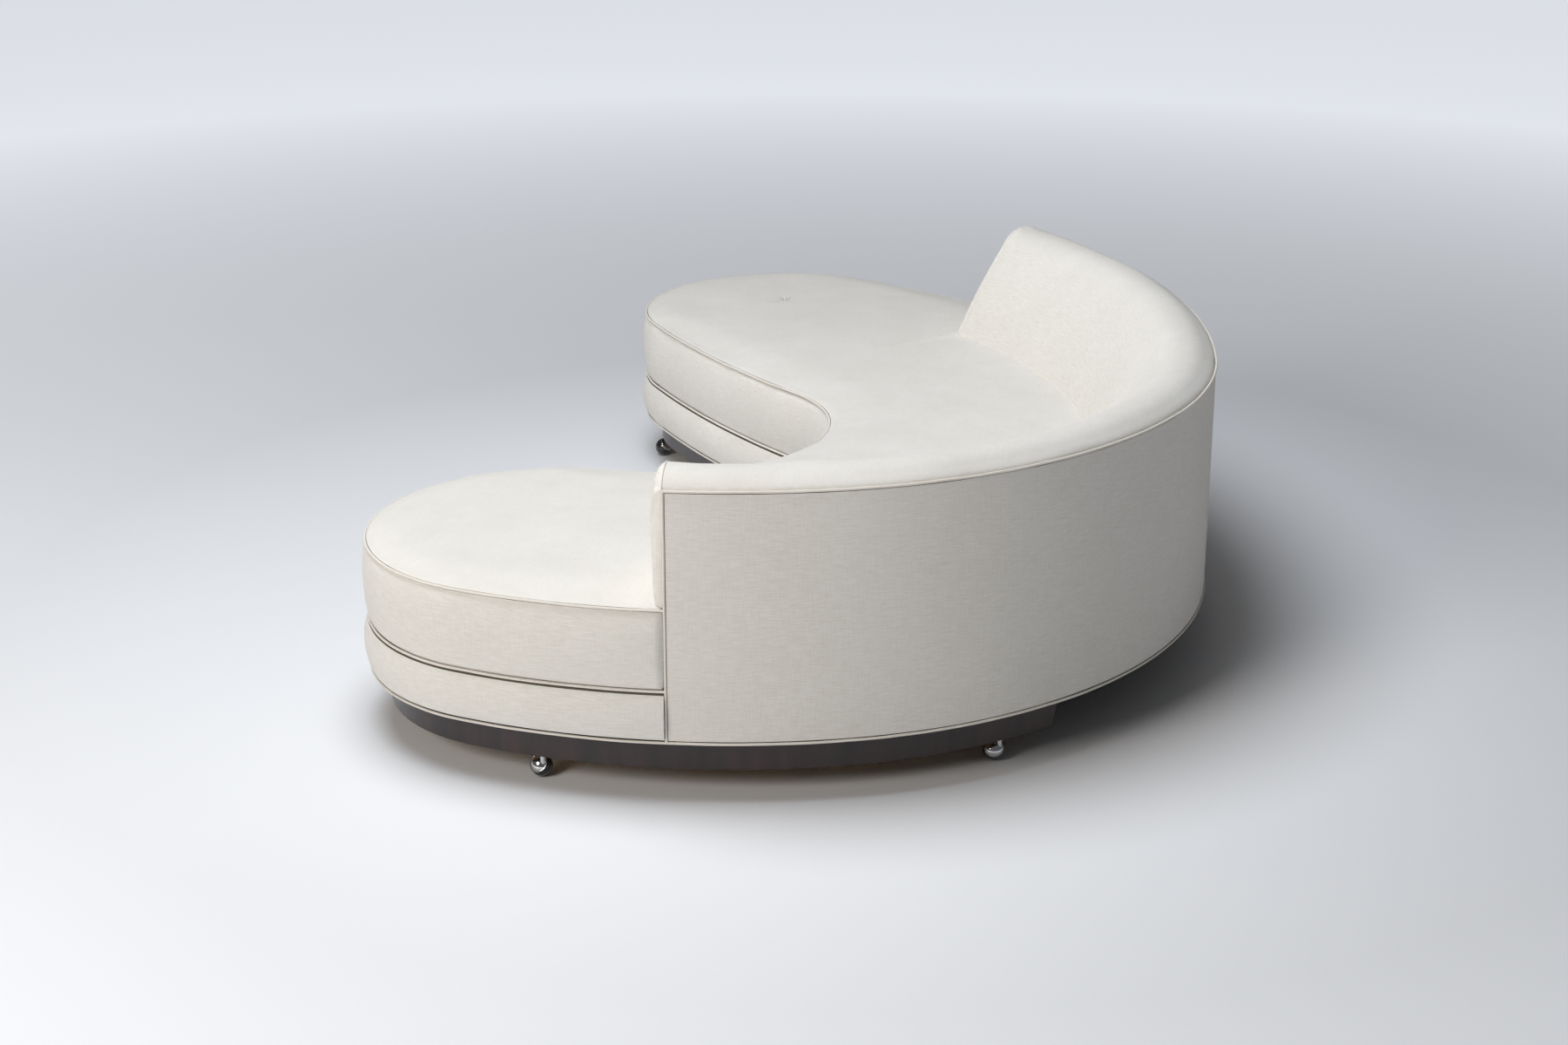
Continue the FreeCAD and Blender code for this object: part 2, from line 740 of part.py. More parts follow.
# Name, arc of the outline and turn where the stem stands, the way the hood faces, and the
# side that the ball lies on
CASTERS = (
    ("near_side", BACK_SIDE, -2.2, -18, 1),
    ("near_rear", BACK_REAR, 47.0, 16, 1),
    ("near_front", NEAR_LOBE, -112, 250, 1),
    ("near_bay", BAY, 38, 120, -1),
    ("far_side", FAR_LOBE, 180, 310, 1),
    ("far_rear", BACK_FAR, 121, 165, -1),
    ("far_front", FAR_LOBE, 290, 75, 1),
    ("far_bay", BAY, 128, 20, 1),
)
NEAR_CASTERS = 4


BALL = size("ball_diameter") / 2
HOOD_RIM = BALL * math.sin(math.radians(size("hood_latitude")))
WHEEL_TOP = BALL * math.sin(math.radians(size("wheel_latitude")))
# The boss starts inside the hood, this share of the ball's radius above its centre
BOSS_LOW_SHARE = 0.4


def ball_centre(stem, heading, side):
    """The ball trails behind the stem and lies to one side of it."""
    back = unit(heading) * -size("caster_trail")
    across = unit(heading - 90) * (side * size("caster_side"))
    return stem + back + across + UP * BALL


def make_stem(stem):
    """Boss, collar and stem above a hood, as three upright cylinders."""
    collar_top = BLOCK_BOTTOM - size("socket_flange_thick") - size("running_gap")
    collar_low = collar_top - size("stem_collar_thick")
    stem_top = BLOCK_BOTTOM + size("stem_grip") - size("running_gap")
    stages = (
        ("boss", "Sizes.boss_radius", BALL * (1 + BOSS_LOW_SHARE), collar_low),
        ("collar", "Sizes.stem_collar_radius", collar_low, collar_top),
        ("stem", "Sizes.stem_radius", collar_top, stem_top),
    )
    cylinders = []
    for label, radius, low, top in stages:
        sizes = {"Radius": radius, "Height": top - low}
        place = Placement(stem + UP * low, Rotation())
        cylinders.append(primitive("Part::Cylinder", label, sizes, place))
    return cylinders


def make_hood(name, stem, place):
    """Metal hood: a cap of the ball with a beaded rim, a hub inside, and a stem on top."""
    sizes = {"Radius": "Sizes.ball_diameter / 2", "Angle1": "Sizes.hood_latitude"}
    cap = primitive("Part::Sphere", "cap", sizes, place)
    rim_height = HOOD_RIM + size("bead_radius")
    sizes = {"Radius1": math.sqrt(BALL ** 2 - rim_height ** 2), "Radius2": "Sizes.bead_radius"}
    rim_place = place.multiply(Placement(UP * rim_height, Rotation()))
    bead = primitive("Part::Torus", "bead", sizes, rim_place)
    outside = fuse("hood_outside", [cap, bead] + make_stem(stem))

    sizes = {"Radius": "Sizes.ball_diameter / 2 - Sizes.hood_thick"}
    inner_ball = primitive("Part::Sphere", "inner_ball", sizes, place)
    sizes = {"Radius": "Sizes.hub_radius", "Height": BALL}
    hub = primitive("Part::Cylinder", "hub", sizes, place)
    shell = cut("hood_shell", outside, cut("hood_hollow", inner_ball, hub))

    pin_place = place.multiply(Placement(UP * -size("axle_reach"), Rotation()))
    pin_tall = size("axle_reach") + BALL - size("hood_thick") - size("running_gap")
    pin = {"Radius": "Sizes.axle_radius", "Height": pin_tall}
    hole = primitive("Part::Cylinder", "axle_hole", pin, pin_place)
    keep(cut("caster_hood_" + name, shell, hole))
    axle = primitive("Part::Cylinder", "caster_axle_" + name, pin, pin_place)
    axle.Label = "caster_axle_" + name
    keep(axle)


def make_wheel(name, place):
    """Lower part of the ball, bored for the axle."""
    sizes = {"Radius": "Sizes.ball_diameter / 2", "Angle2": "Sizes.wheel_latitude"}
    ball = primitive("Part::Sphere", "ball", sizes, place)
    deep = size("axle_reach") + size("running_gap")
    # the bore runs out past the wheel's flat top
    sizes = {"Radius": "Sizes.axle_radius + Sizes.axle_clearance", "Height": deep + BALL}
    bore_place = place.multiply(Placement(UP * -deep, Rotation()))
    bore = primitive("Part::Cylinder", "wheel_bore", sizes, bore_place)
    keep(cut("caster_wheel_" + name, ball, bore))


def make_socket(stem):
    """Flanged sleeve pressed into a block from below."""
    low = BLOCK_BOTTOM - size("socket_flange_thick")
    foot = Placement(stem + UP * low, Rotation())
    sizes = {"Radius": "Sizes.socket_flange_radius", "Height": "Sizes.socket_flange_thick"}
    flange = primitive("Part::Cylinder", "flange", sizes, foot)
    sizes = {"Radius": SOCKET_OUT, "Height": "Sizes.stem_grip"}
    sleeve_foot = Placement(stem + UP * BLOCK_BOTTOM, Rotation())
    sleeve = primitive("Part::Cylinder", "sleeve", sizes, sleeve_foot)
    sizes = {"Radius": "Sizes.stem_radius + Sizes.stem_clearance",
             "Height": "Sizes.stem_grip + Sizes.socket_flange_thick"}
    bore = primitive("Part::Cylinder", "socket_bore", sizes, foot)
    return cut("socket", fuse("socket_whole", [flange, sleeve]), bore)


def make_casters():
    """All casters; returns the stem of each, the turn of its block, and its socket."""
    casters = []
    for name, bend, turn, heading, side in CASTERS:
        stem = bend.point(turn, STEM_INSET, 0)
        centre = ball_centre(stem, heading, side)
        turned = Rotation(UP, heading - 90).multiply(Rotation(Vector(1, 0, 0), size("axle_tilt") - 90))
        place = Placement(centre, turned)
        make_hood(name, stem, place)
        make_wheel(name, place)
        casters.append((stem, turn, make_socket(stem)))
        axis = turned.multVec(UP)
        print("caster", name, [round(v, 4) for v in (*stem, *centre, *axis)])
    return casters


padded_back, end_pads = make_back()
make_seat(padded_back, end_pads)
make_deck_band()
bolt_holes = make_bolts()
make_frame(bolt_holes)
make_deck(bolt_holes)
casters = make_casters()
make_plinth("near", 1, casters[:NEAR_CASTERS], bolt_holes)
make_plinth("far", -1, casters[NEAR_CASTERS:], bolt_holes)
doc.recompute()

# Every object must have come out, and every sub-part must be a valid solid, before any is written

for item in doc.Objects:
    if "Invalid" in item.State or "Error" in item.State:
        raise RuntimeError("%s failed: %s" % (item.Label, item.State))
for item in NODES:
    if item.Shape.isNull() or not item.Shape.isValid() or not item.Shape.Solids:
        raise RuntimeError("%s has no valid solid" % item.Label)

os.makedirs("parts", exist_ok=True)
whole_box = FreeCAD.BoundBox()
for item in NODES:
    item.Shape.exportStep(os.path.join("parts", item.Label + ".step"))
    whole_box.add(item.Shape.optimalBoundingBox(False, False))
print("sub-parts", len(NODES))
print("whole size", [round(v, 2) for v in (whole_box.XLength, whole_box.YLength, whole_box.ZLength)])
print("whole centre", [round(v, 2) for v in (whole_box.Center.x, whole_box.Center.y, whole_box.ZMin)])
for item in NODES:
    print(item.Label, len(item.Shape.Solids), round(item.Shape.Volume))
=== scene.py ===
# %% [markdown]
# # A curved sofa: cloth, piping, veneer and ball casters
# The imported model brings the boards, rails, plinths and casters at their real size and place.
# This lesson dresses them: the upholstered parts are swept along the sofa's plan outline or built
# on the back's section, the padded ones are blown up by a small cloth simulation, and every part is
# given a finish made from nodes.

# %% Load the frame
import bpy
import json
import math
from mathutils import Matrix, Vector, noise


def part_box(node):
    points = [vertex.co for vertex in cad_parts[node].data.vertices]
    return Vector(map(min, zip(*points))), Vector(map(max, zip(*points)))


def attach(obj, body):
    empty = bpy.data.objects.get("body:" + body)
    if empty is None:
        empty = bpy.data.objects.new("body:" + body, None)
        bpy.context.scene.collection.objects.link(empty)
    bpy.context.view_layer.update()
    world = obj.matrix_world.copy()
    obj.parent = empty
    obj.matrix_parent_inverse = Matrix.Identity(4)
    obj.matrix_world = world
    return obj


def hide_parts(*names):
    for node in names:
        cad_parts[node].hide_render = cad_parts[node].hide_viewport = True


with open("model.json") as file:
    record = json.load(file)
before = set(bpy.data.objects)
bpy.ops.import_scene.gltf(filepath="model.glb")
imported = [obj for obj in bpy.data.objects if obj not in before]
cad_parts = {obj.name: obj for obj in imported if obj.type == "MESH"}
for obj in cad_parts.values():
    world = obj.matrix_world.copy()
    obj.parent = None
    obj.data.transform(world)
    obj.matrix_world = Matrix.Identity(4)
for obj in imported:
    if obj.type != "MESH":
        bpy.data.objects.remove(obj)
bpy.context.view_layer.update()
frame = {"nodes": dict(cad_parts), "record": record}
bpy.ops.object.select_all(action="DESELECT")
print("solids in the frame:", len(frame["nodes"]))

# %% [markdown]
# ## The plan outline
# Seen from above the sofa is a kidney: two round lobes, a long curved back and a hollow bay.
# An upholsterer's template for it is a chain of arcs that run smoothly into each other, so a few
# radii and turns say everything, and any seam is the same outline drawn in by a small inset.

# %% Radii and turns of the outline, in metres and degrees
NEAR_LOBE_RADIUS = 0.4245
BACK_SIDE_RADIUS = 1.4045
BACK_REAR_RADIUS = 1.122
BACK_FAR_RADIUS = 1.8565
FAR_LOBE_RADIUS = 0.4155
SIDE_TURN = -9.35
REAR_TURN = 24.7
FAR_TURN = 97.9
LOBE_TURN = 162.2
BAY_RADIUS = 0.410
BAY_BEARING = 179.5
BAY_STRAIGHT = 0.040
FAR_EDGE_RADIUS = 3.090
NEAR_END = 10.2
FAR_END = 139.6
UP = Vector((0, 0, 1))
STITCH = 0.013


def unit(turn):
    """Direction in plan, a turn in degrees counterclockwise from +X."""
    return Vector((math.cos(math.radians(turn)), math.sin(math.radians(turn)), 0))


def turn_of(vector):
    """Counterclockwise turn of a plan vector from +X."""
    return math.degrees(math.atan2(vector.y, vector.x))


def after(turn, limit):
    """The same turn, raised by whole circles until it is past a limit."""
    while turn < limit:
        turn += 360
    return turn


# %% [markdown]
# ## Carrying a section along an arc
# Blender's spin operator turns the selected edges about a centre and leaves faces behind, which is
# just how a sewn strip follows a bend. Each arc knows its centre, so it can carry a section on by
# itself. A straight stretch does the same with plain extrusions.

# %% Arcs and straights that carry a selected section
class Bend:
    """An arc of the outline. A hollow one, such as the bay's, turns clockwise."""

    def __init__(self, centre, radius, start, end):
        self.centre = centre
        self.radius = radius
        self.start = start
        self.end = end

    def point(self, turn, inset, height):
        shrink = inset if self.end > self.start else -inset
        return self.centre + unit(turn) * (self.radius - shrink) + UP * height

    def first_point(self, inset, height):
        return self.point(self.start, inset, height)

    def slip(self, length):
        """The turn that a length takes along this arc."""
        return math.degrees(length / self.radius)

    def part(self, start, end):
        """A stretch of this arc."""
        return Bend(self.centre, self.radius, start, end)

    def length(self):
        return abs(math.radians(self.end - self.start)) * self.radius

    def carry(self, stitch):
        steps = max(1, round(self.length() / stitch))
        turned = math.radians(self.start - self.end)
        bpy.ops.mesh.spin(steps=steps, angle=turned, center=self.centre, axis=UP)


class Straight:
    """A straight stretch of the outline, with the sofa on its left."""

    def __init__(self, first, last):
        self.first = first
        self.last = last

    def length(self):
        return (self.last - self.first).length

    def carry(self, stitch):
        steps = max(1, round(self.length() / stitch))
        along = (self.last - self.first) / steps
        for _ in range(steps):
            bpy.ops.mesh.extrude_region_move(TRANSFORM_OT_translate={"value": along})


# %% [markdown]
# ## Chaining the arcs
# Each back arc starts where the one before it ends, with both centres on the same spoke, so the
# cloth never shows a kink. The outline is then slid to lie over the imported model: the piping at
# the bottom edge follows it exactly, so the middle of that node's box gives the place.

# %% The outline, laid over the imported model
def centres_of_back():
    """Centres of the convex arcs, from the near lobe round the back to the far lobe."""
    radii = [
        NEAR_LOBE_RADIUS, BACK_SIDE_RADIUS, BACK_REAR_RADIUS, BACK_FAR_RADIUS, FAR_LOBE_RADIUS,
    ]
    turns = [SIDE_TURN, REAR_TURN, FAR_TURN, LOBE_TURN]
    centres = [Vector((0, 0, 0))]
    for turn, before, behind in zip(turns, radii, radii[1:]):
        centres.append(centres[-1] + unit(turn) * (before - behind))
    return centres


def make_outline():
    """Stretches of the outline, counterclockwise from the near lobe."""
    near, side, rear, far_back, far = centres_of_back()
    reach = math.hypot(NEAR_LOBE_RADIUS + BAY_RADIUS, BAY_STRAIGHT)
    bay = near + unit(BAY_BEARING) * reach
    across = bay - far
    to_far = FAR_EDGE_RADIUS - FAR_LOBE_RADIUS
    to_bay = FAR_EDGE_RADIUS + BAY_RADIUS
    along = (to_far ** 2 - to_bay ** 2 + across.length ** 2) / (2 * across.length)
    rise = math.sqrt(to_far ** 2 - along ** 2)
    axis = across.normalized()
    edge_centre = far + axis * along + UP.cross(axis) * rise
    swing = math.degrees(math.acos((NEAR_LOBE_RADIUS + BAY_RADIUS) / reach))
    touch = BAY_BEARING + swing
    near_touch = near + unit(touch) * NEAR_LOBE_RADIUS
    bay_touch = bay - unit(touch) * BAY_RADIUS
    far_out = after(turn_of(far - edge_centre), LOBE_TURN)
    edge_out = after(turn_of(bay - edge_centre), far_out)
    return [
        Bend(near, NEAR_LOBE_RADIUS, touch - 360, SIDE_TURN),
        Bend(side, BACK_SIDE_RADIUS, SIDE_TURN, REAR_TURN),
        Bend(rear, BACK_REAR_RADIUS, REAR_TURN, FAR_TURN),
        Bend(far_back, BACK_FAR_RADIUS, FAR_TURN, LOBE_TURN),
        Bend(far, FAR_LOBE_RADIUS, LOBE_TURN, far_out),
        Bend(edge_centre, FAR_EDGE_RADIUS, far_out, edge_out),
        Bend(bay, BAY_RADIUS, edge_out - 180, turn_of(bay_touch - bay)),
        Straight(bay_touch, near_touch),
    ]


def plan_middle(stretches):
    """Middle of the outline's box, from points taken closely along its convex arcs."""
    spots = []
    for bend in stretches[:6]:
        for index in range(721):
            turn = bend.start + (bend.end - bend.start) * index / 720
            spots.append(bend.point(turn, 0, 0))
    xs = [spot.x for spot in spots]
    ys = [spot.y for spot in spots]
    return Vector(((min(xs) + max(xs)) / 2, (min(ys) + max(ys)) / 2, 0))


OUTLINE = make_outline()
low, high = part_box("bottom_welt")
move = Vector(((low.x + high.x) / 2, (low.y + high.y) / 2, 0)) - plan_middle(OUTLINE)
for stretch in OUTLINE:
    if isinstance(stretch, Bend):
        stretch.centre = stretch.centre + move
    else:
        stretch.first = stretch.first + move
        stretch.last = stretch.last + move
NEAR_LOBE, BACK_SIDE, BACK_REAR, BACK_FAR, FAR_LOBE, FAR_EDGE, BAY, BAY_RUN = OUTLINE
print("outline length, m:", round(sum(stretch.length() for stretch in OUTLINE), 3))

# %% [markdown]
# ## Where each seam runs
# The back covers only the rear of the outline. In front of its two ends, the seat and the border
# below it run round both lobes and the bay in one long strip. These two routes are all that the
# upholstery needs.

# %% Routes for the back and for the front
def back_route(margin):
    """Arcs of the back, made longer at both ends by a margin."""
    return [
        BACK_SIDE.part(NEAR_END - BACK_SIDE.slip(margin), BACK_SIDE.end),
        BACK_REAR,
        BACK_FAR.part(BACK_FAR.start, FAR_END + BACK_FAR.slip(margin)),
    ]


def front_route(margin):
    """From the far end of the back round the lobes and the bay to its near end."""
    return [
        BACK_FAR.part(FAR_END + BACK_FAR.slip(margin), BACK_FAR.end),
        FAR_LOBE, FAR_EDGE, BAY, BAY_RUN, NEAR_LOBE,
        BACK_SIDE.part(BACK_SIDE.start, NEAR_END - BACK_SIDE.slip(margin)),
    ]


BACK_LENGTH = sum(bend.length() for bend in back_route(0))
print("the back runs for", round(BACK_LENGTH, 3), "m")

# %% [markdown]
# ## Heights
# The layers from the floor up are the plinth, a padded border, the seat with its sides boxed
# between two lines of piping, and the back. They are the heights that the solids have.

# %% Heights of the seams, in metres
WELT = 0.003
FRAME_BOTTOM = 0.139
DECK_TOP = 0.255
MID_WELT = DECK_TOP + WELT
SEAT_WELT = 0.4435
SEAT_CROWN = 0.018
SEAT_TOP = SEAT_WELT + SEAT_CROWN
BACK_WELT = 0.710
BACK_DOME = 0.036
BACK_TOP = BACK_WELT + BACK_DOME
BACK_FOOT = SEAT_TOP - 0.0165
BOARD_TOP = 0.698
print("back stands", BACK_TOP, "m high and the seat", SEAT_TOP, "m")

# %% [markdown]
# ## Tools for the bench
# A section is a list of points, each an inset from the outline and a height. The sweep starts as a
# circle primitive with as many points, moves them onto the section, and lets each stretch of the
# route carry it on. A ring is closed by merging its last points with its first.

# %% Edit-mode helpers
def choose(piece):
    """Make one object the only selected and the active one."""
    bpy.ops.object.select_all(action="DESELECT")
    piece.select_set(True)
    bpy.context.view_layer.objects.active = piece


def edit(piece, kind="VERT"):
    choose(piece)
    bpy.ops.object.mode_set(mode="EDIT")
    bpy.ops.mesh.select_mode(type=kind)


def pick(piece, test):
    """Select the vertices that pass a test, by their place, and return to edit mode."""
    bpy.ops.object.mode_set(mode="OBJECT")
    for face in piece.data.polygons:
        face.select = False
    for seam in piece.data.edges:
        seam.select = False
    for vertex in piece.data.vertices:
        vertex.select = test(vertex)
    bpy.ops.object.mode_set(mode="EDIT")


def tidy_skin(piece, angle=40):
    """Merge doubles, turn all faces outwards and shade smooth."""
    bpy.ops.mesh.select_all(action="SELECT")
    bpy.ops.mesh.remove_doubles(threshold=0.00005)
    bpy.ops.mesh.normals_make_consistent(inside=False)
    bpy.ops.object.mode_set(mode="OBJECT")
    bpy.ops.object.shade_smooth_by_angle(angle=math.radians(angle))


def sweep(name, section, route, ring=False, strip=False, stitch=STITCH):
    """Carry a section along a route. A strip is an open section; other ends are capped."""
    bpy.ops.mesh.primitive_circle_add(vertices=len(section))
    piece = bpy.context.object
    piece.name = name
    count = len(section)
    for vertex, (inset, height) in zip(piece.data.vertices, section):
        vertex.co = route[0].first_point(inset, height)
    edit(piece)
    if strip:
        bpy.ops.mesh.select_all(action="DESELECT")
        bpy.ops.object.mode_set(mode="OBJECT")
        for seam in piece.data.edges:
            seam.select = set(seam.vertices) == {0, count - 1}
        edit(piece, "EDGE")
        bpy.ops.mesh.delete(type="EDGE")
        bpy.ops.mesh.select_mode(type="VERT")
    bpy.ops.mesh.select_all(action="SELECT")
    for stretch in route:
        stretch.carry(stitch)
    if not ring and not strip:
        bpy.ops.mesh.edge_face_add()
        pick(piece, lambda vertex: vertex.index < count)
        bpy.ops.mesh.edge_face_add()
    tidy_skin(piece)
    print(name, len(piece.data.vertices), "points")
    return piece


# %% [markdown]
# ## Making cloth look handled
# Real padding is never perfectly even. Each point moves a little along its normal, by a smooth
# noise that is fixed in space, so the result is the same on every run.

# %% Unevenness from fixed noise
def unsettle(piece, amount, patch, only=None):
    """Move points along their normals by noise of a patch's size, where a test lets them."""
    moves = []
    for vertex in piece.data.vertices:
        share = noise.noise(vertex.co / patch) if only is None or only(vertex.co) else 0
        moves.append(vertex.normal * share * amount)
    for vertex, shift in zip(piece.data.vertices, moves):
        vertex.co += shift


# %% [markdown]
# ## Padding by simulation
# A padded piece is blown up like a balloon while its seams are held: that is what stuffing does.
# The cloth modifier runs for twenty frames with pressure and no gravity, no point may move further
# than a cap, and the result is written into the mesh.

# %% Cloth that is blown up between held seams
CLOTH_FRAMES = 20


def plump(piece, held, pressure, cap):
    """Inflate a closed piece; held(co) says which points stay where they are."""
    start = [vertex.co.copy() for vertex in piece.data.vertices]
    pins = piece.vertex_groups.new(name="held")
    pins.add([v.index for v in piece.data.vertices if held(v.co)], 1.0, "REPLACE")
    cloth = piece.modifiers.new("padding", "CLOTH")
    cloth.settings.vertex_group_mass = "held"
    cloth.settings.quality = 5
    cloth.settings.mass = 0.3
    cloth.settings.tension_stiffness = 15
    cloth.settings.compression_stiffness = 15
    cloth.settings.bending_stiffness = 0.5
    cloth.settings.use_pressure = True
    cloth.settings.uniform_pressure_force = pressure
    cloth.settings.effector_weights.gravity = 0
    cloth.collision_settings.use_collision = False
    scene = bpy.context.scene
    for number in range(1, CLOTH_FRAMES + 1):
        scene.frame_set(number)
    seen = piece.evaluated_get(bpy.context.evaluated_depsgraph_get())
    puffed = [vertex.co.copy() for vertex in seen.data.vertices]
    piece.modifiers.remove(cloth)
    scene.frame_set(1)
    piece.vertex_groups.remove(pins)
    most = 0
    for vertex, before, now in zip(piece.data.vertices, start, puffed):
        shift = now - before
        if shift.length > cap:
            shift = shift * (cap / shift.length)
        vertex.co = before + shift
        most = max(most, shift.length)
    print(piece.name, "padded by up to", round(most * 1000, 1), "mm")


def refine(piece):
    """One level of subdivision, applied."""
    choose(piece)
    smooth = piece.modifiers.new("smooth", "SUBSURF")
    smooth.levels = 1
    smooth.render_levels = 1
    bpy.ops.object.modifier_apply(modifier="smooth")


def place(piece, slot, *nodes):
    """Ride on the sofa's root body, and hide the solids that it stands for; the slot is not used.
    """
    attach(piece, "root")
    if nodes:
        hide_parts(*nodes)


# %% [markdown]
# ## Finishes from nodes
# A finish is a tree of nodes, and arithmetic on it reads best as arithmetic. Wire wraps a socket so
# that plus and times add Math nodes. Finish holds the tree, with one method that adds any node:
# its settings come first, then what goes into its sockets.

# %% Wires and finishes
class Wire:
    """An output socket that Python's operators work on."""

    def __init__(self, finish, socket):
        self.finish = finish
        self.socket = socket

    def maths(self, operation, first, second):
        return self.finish.add("ShaderNodeMath", {"operation": operation}, {0: first, 1: second})

    def __add__(self, other):
        return self.maths("ADD", self, other)

    def __radd__(self, other):
        return self.maths("ADD", other, self)

    def __sub__(self, other):
        return self.maths("SUBTRACT", self, other)

    def __rsub__(self, other):
        return self.maths("SUBTRACT", other, self)

    def __mul__(self, other):
        return self.maths("MULTIPLY", self, other)

    def size(self):
        return self.finish.add("ShaderNodeMath", {"operation": "ABSOLUTE"}, {0: self})


class Finish:
    """A material and its node tree."""

    def __init__(self, name, **constants):
        self.material = bpy.data.materials.new(name)
        self.material.use_nodes = True
        self.tree = self.material.node_tree
        self.shader = self.tree.nodes["Principled BSDF"]
        for socket, value in constants.items():
            self.shader.inputs[socket.replace("_", " ")].default_value = value

    def add(self, kind, settings=None, sockets=None, out=0):
        node = self.tree.nodes.new(kind)
        for name, value in (settings or {}).items():
            setattr(node, name, value)
        for name, value in (sockets or {}).items():
            self.feed(node.inputs[name], value)
        return Wire(self, node.outputs[out])

    def feed(self, socket, value):
        if isinstance(value, Wire):
            self.tree.links.new(value.socket, socket)
        else:
            socket.default_value = value

    def set(self, name, value):
        self.feed(self.shader.inputs[name], value)

    def place(self):
        """Object coordinates, so that a pattern stays on its piece."""
        return self.add("ShaderNodeTexCoord", out="Object")

    def noise(self, stretch, detail=3.0, rough=0.55):
        """Noise with so many patches to a metre along X, Y and Z."""
        spot = self.add("ShaderNodeMapping", {}, {"Vector": self.place(), "Scale": stretch})
        facts = {"Vector": spot, "Scale": 1.0, "Detail": detail, "Roughness": rough}
        return self.add("ShaderNodeTexNoise", {}, facts)

    def ramp(self, value, low, high):
        """0 below a value and 1 above another, evenly between."""
        facts = {"Value": value, "From Min": low, "From Max": high}
        return self.add("ShaderNodeMapRange", {"clamp": True}, facts)

    def mix(self, share, first, second):
        """Colour between two others."""
        facts = {0: share, 6: first, 7: second}
        return self.add("ShaderNodeMix", {"data_type": "RGBA"}, facts, out=2)

    def bump(self, height, strength, distance):
        facts = {"Height": height, "Strength": strength, "Distance": distance}
        return self.add("ShaderNodeBump", {}, facts)


def tone(red, green, blue):
    """A colour with full alpha."""
    return (red, green, blue, 1.0)


# %% [markdown]
# ## The upholstery cloth
# It is an off-white linen weave. On upright faces the weft shows as fine level slubs, thicker here
# and there, crossed by fainter warp threads; on level faces the nap lies in soft clouds. The
# cloth is cut and turned with the sofa, so one material asks its own normal which face it is on.

# %% Cloth and piping finishes, and the cloth of painted seam shade
def thread_noise(finish, level, upright, across):
    """Slubs of thread: on level faces along the plan, on upright ones along the height."""
    on_top = finish.noise(level)
    on_side = finish.noise(upright)
    return on_side + (on_top - on_side) * across


def cloth_finish(name, pale, deep, slub):
    finish = Finish(name, Specular_IOR_Level=0.28, Sheen_Weight=0.12, Sheen_Roughness=0.5)
    facing = finish.add("ShaderNodeTexCoord", out="Normal")
    rise = finish.add("ShaderNodeSeparateXYZ", {}, {"Vector": facing}, out="Z")
    level = finish.ramp(rise.size(), 0.55, 0.85)
    weft = thread_noise(finish, (40, 460, 40), (34, 34, 480), level)
    warp = thread_noise(finish, (460, 40, 40), (460, 460, 26), level)
    cloud = finish.noise((5, 5, 5), detail=6.0, rough=0.66)
    fleck = finish.noise((900, 900, 900), detail=2.0)
    threads = finish.ramp(weft * 0.65 + warp * 0.35, 0.36, 0.64)
    clouds = finish.ramp(cloud, 0.3, 0.72)
    lines = threads * slub * (1 - level * 0.6)
    mottle = clouds * (0.14 + level * 0.2)
    share = lines + mottle + fleck * 0.16
    finish.set("Base Color", finish.mix(share, pale, deep))
    finish.set("Roughness", 0.84 + clouds * 0.1)
    weave = finish.bump(weft + warp * 0.6 + fleck * 0.35, 0.5, 0.0012)
    finish.set("Normal", weave)
    return finish.material


PALE_CLOTH = tone(0.86, 0.835, 0.79)
DEEP_CLOTH = tone(0.69, 0.65, 0.58)
PALE_CORD = tone(0.86, 0.82, 0.755)
DEEP_CORD = tone(0.68, 0.625, 0.53)
# painted shade: near-black cloth for the faces deep in the seam grooves beside the piping, where
# shade falls
PALE_SEAM_SHADE = tone(0.16, 0.14, 0.11)
DEEP_SEAM_SHADE = tone(0.10, 0.085, 0.065)
CLOTH = cloth_finish("off_white_cloth", PALE_CLOTH, DEEP_CLOTH, 0.58)
PIPING = cloth_finish("piping_cloth", PALE_CORD, DEEP_CORD, 0.4)
PAINTED_SEAM_SHADE = cloth_finish("painted_seam_shade_cloth", PALE_SEAM_SHADE, DEEP_SEAM_SHADE, 0.4)
print("cloth finishes:", CLOTH.name, PIPING.name, PAINTED_SEAM_SHADE.name)

# %% [markdown]
# ## Veneer, chrome and the rest
# The plinths wear a dark reddish-brown veneer with its grain upright, under satin lacquer. The
# ball casters are polished metal over glossy dark wheels. The boards and cloths inside are plain,
# but they get their own grain too, for whoever takes the sofa apart.

# %% Wood finishes
def veneer_finish():
    finish = Finish("dark_veneer", Coat_Weight=0.35, Coat_Roughness=0.22, Specular_IOR_Level=0.45)
    stripe = finish.noise((22, 22, 1.3), detail=4.0, rough=0.6)
    pore = finish.noise((520, 520, 16), detail=2.0)
    figure = finish.noise((9, 9, 3.0), detail=2.0)
    share = finish.ramp(stripe * 0.7 + figure * 0.3, 0.36, 0.64)
    deep = tone(0.011, 0.0058, 0.0056)
    finish.set("Base Color", finish.mix(share, deep, tone(0.036, 0.0155, 0.0130)))
    finish.set("Roughness", 0.30 + pore * 0.18)
    finish.set("Normal", finish.bump(pore, 0.15, 0.0003))
    return finish.material


def wood_finish(name, pale, deep, stretch, rough=0.6):
    finish = Finish(name)
    grain = finish.noise(stretch, detail=4.0)
    finish.set("Base Color", finish.mix(finish.ramp(grain, 0.3, 0.7), pale, deep))
    finish.set("Roughness", rough + grain * 0.2)
    finish.set("Normal", finish.bump(grain, 0.2, 0.0005))
    return finish.material


VENEER = veneer_finish()
PLYWOOD = wood_finish("birch_plywood", tone(0.62, 0.45, 0.27), tone(0.46, 0.30, 0.16), (8, 60, 400))
TIMBER = wood_finish("beech_timber", tone(0.56, 0.38, 0.22), tone(0.40, 0.24, 0.12), (60, 60, 6))

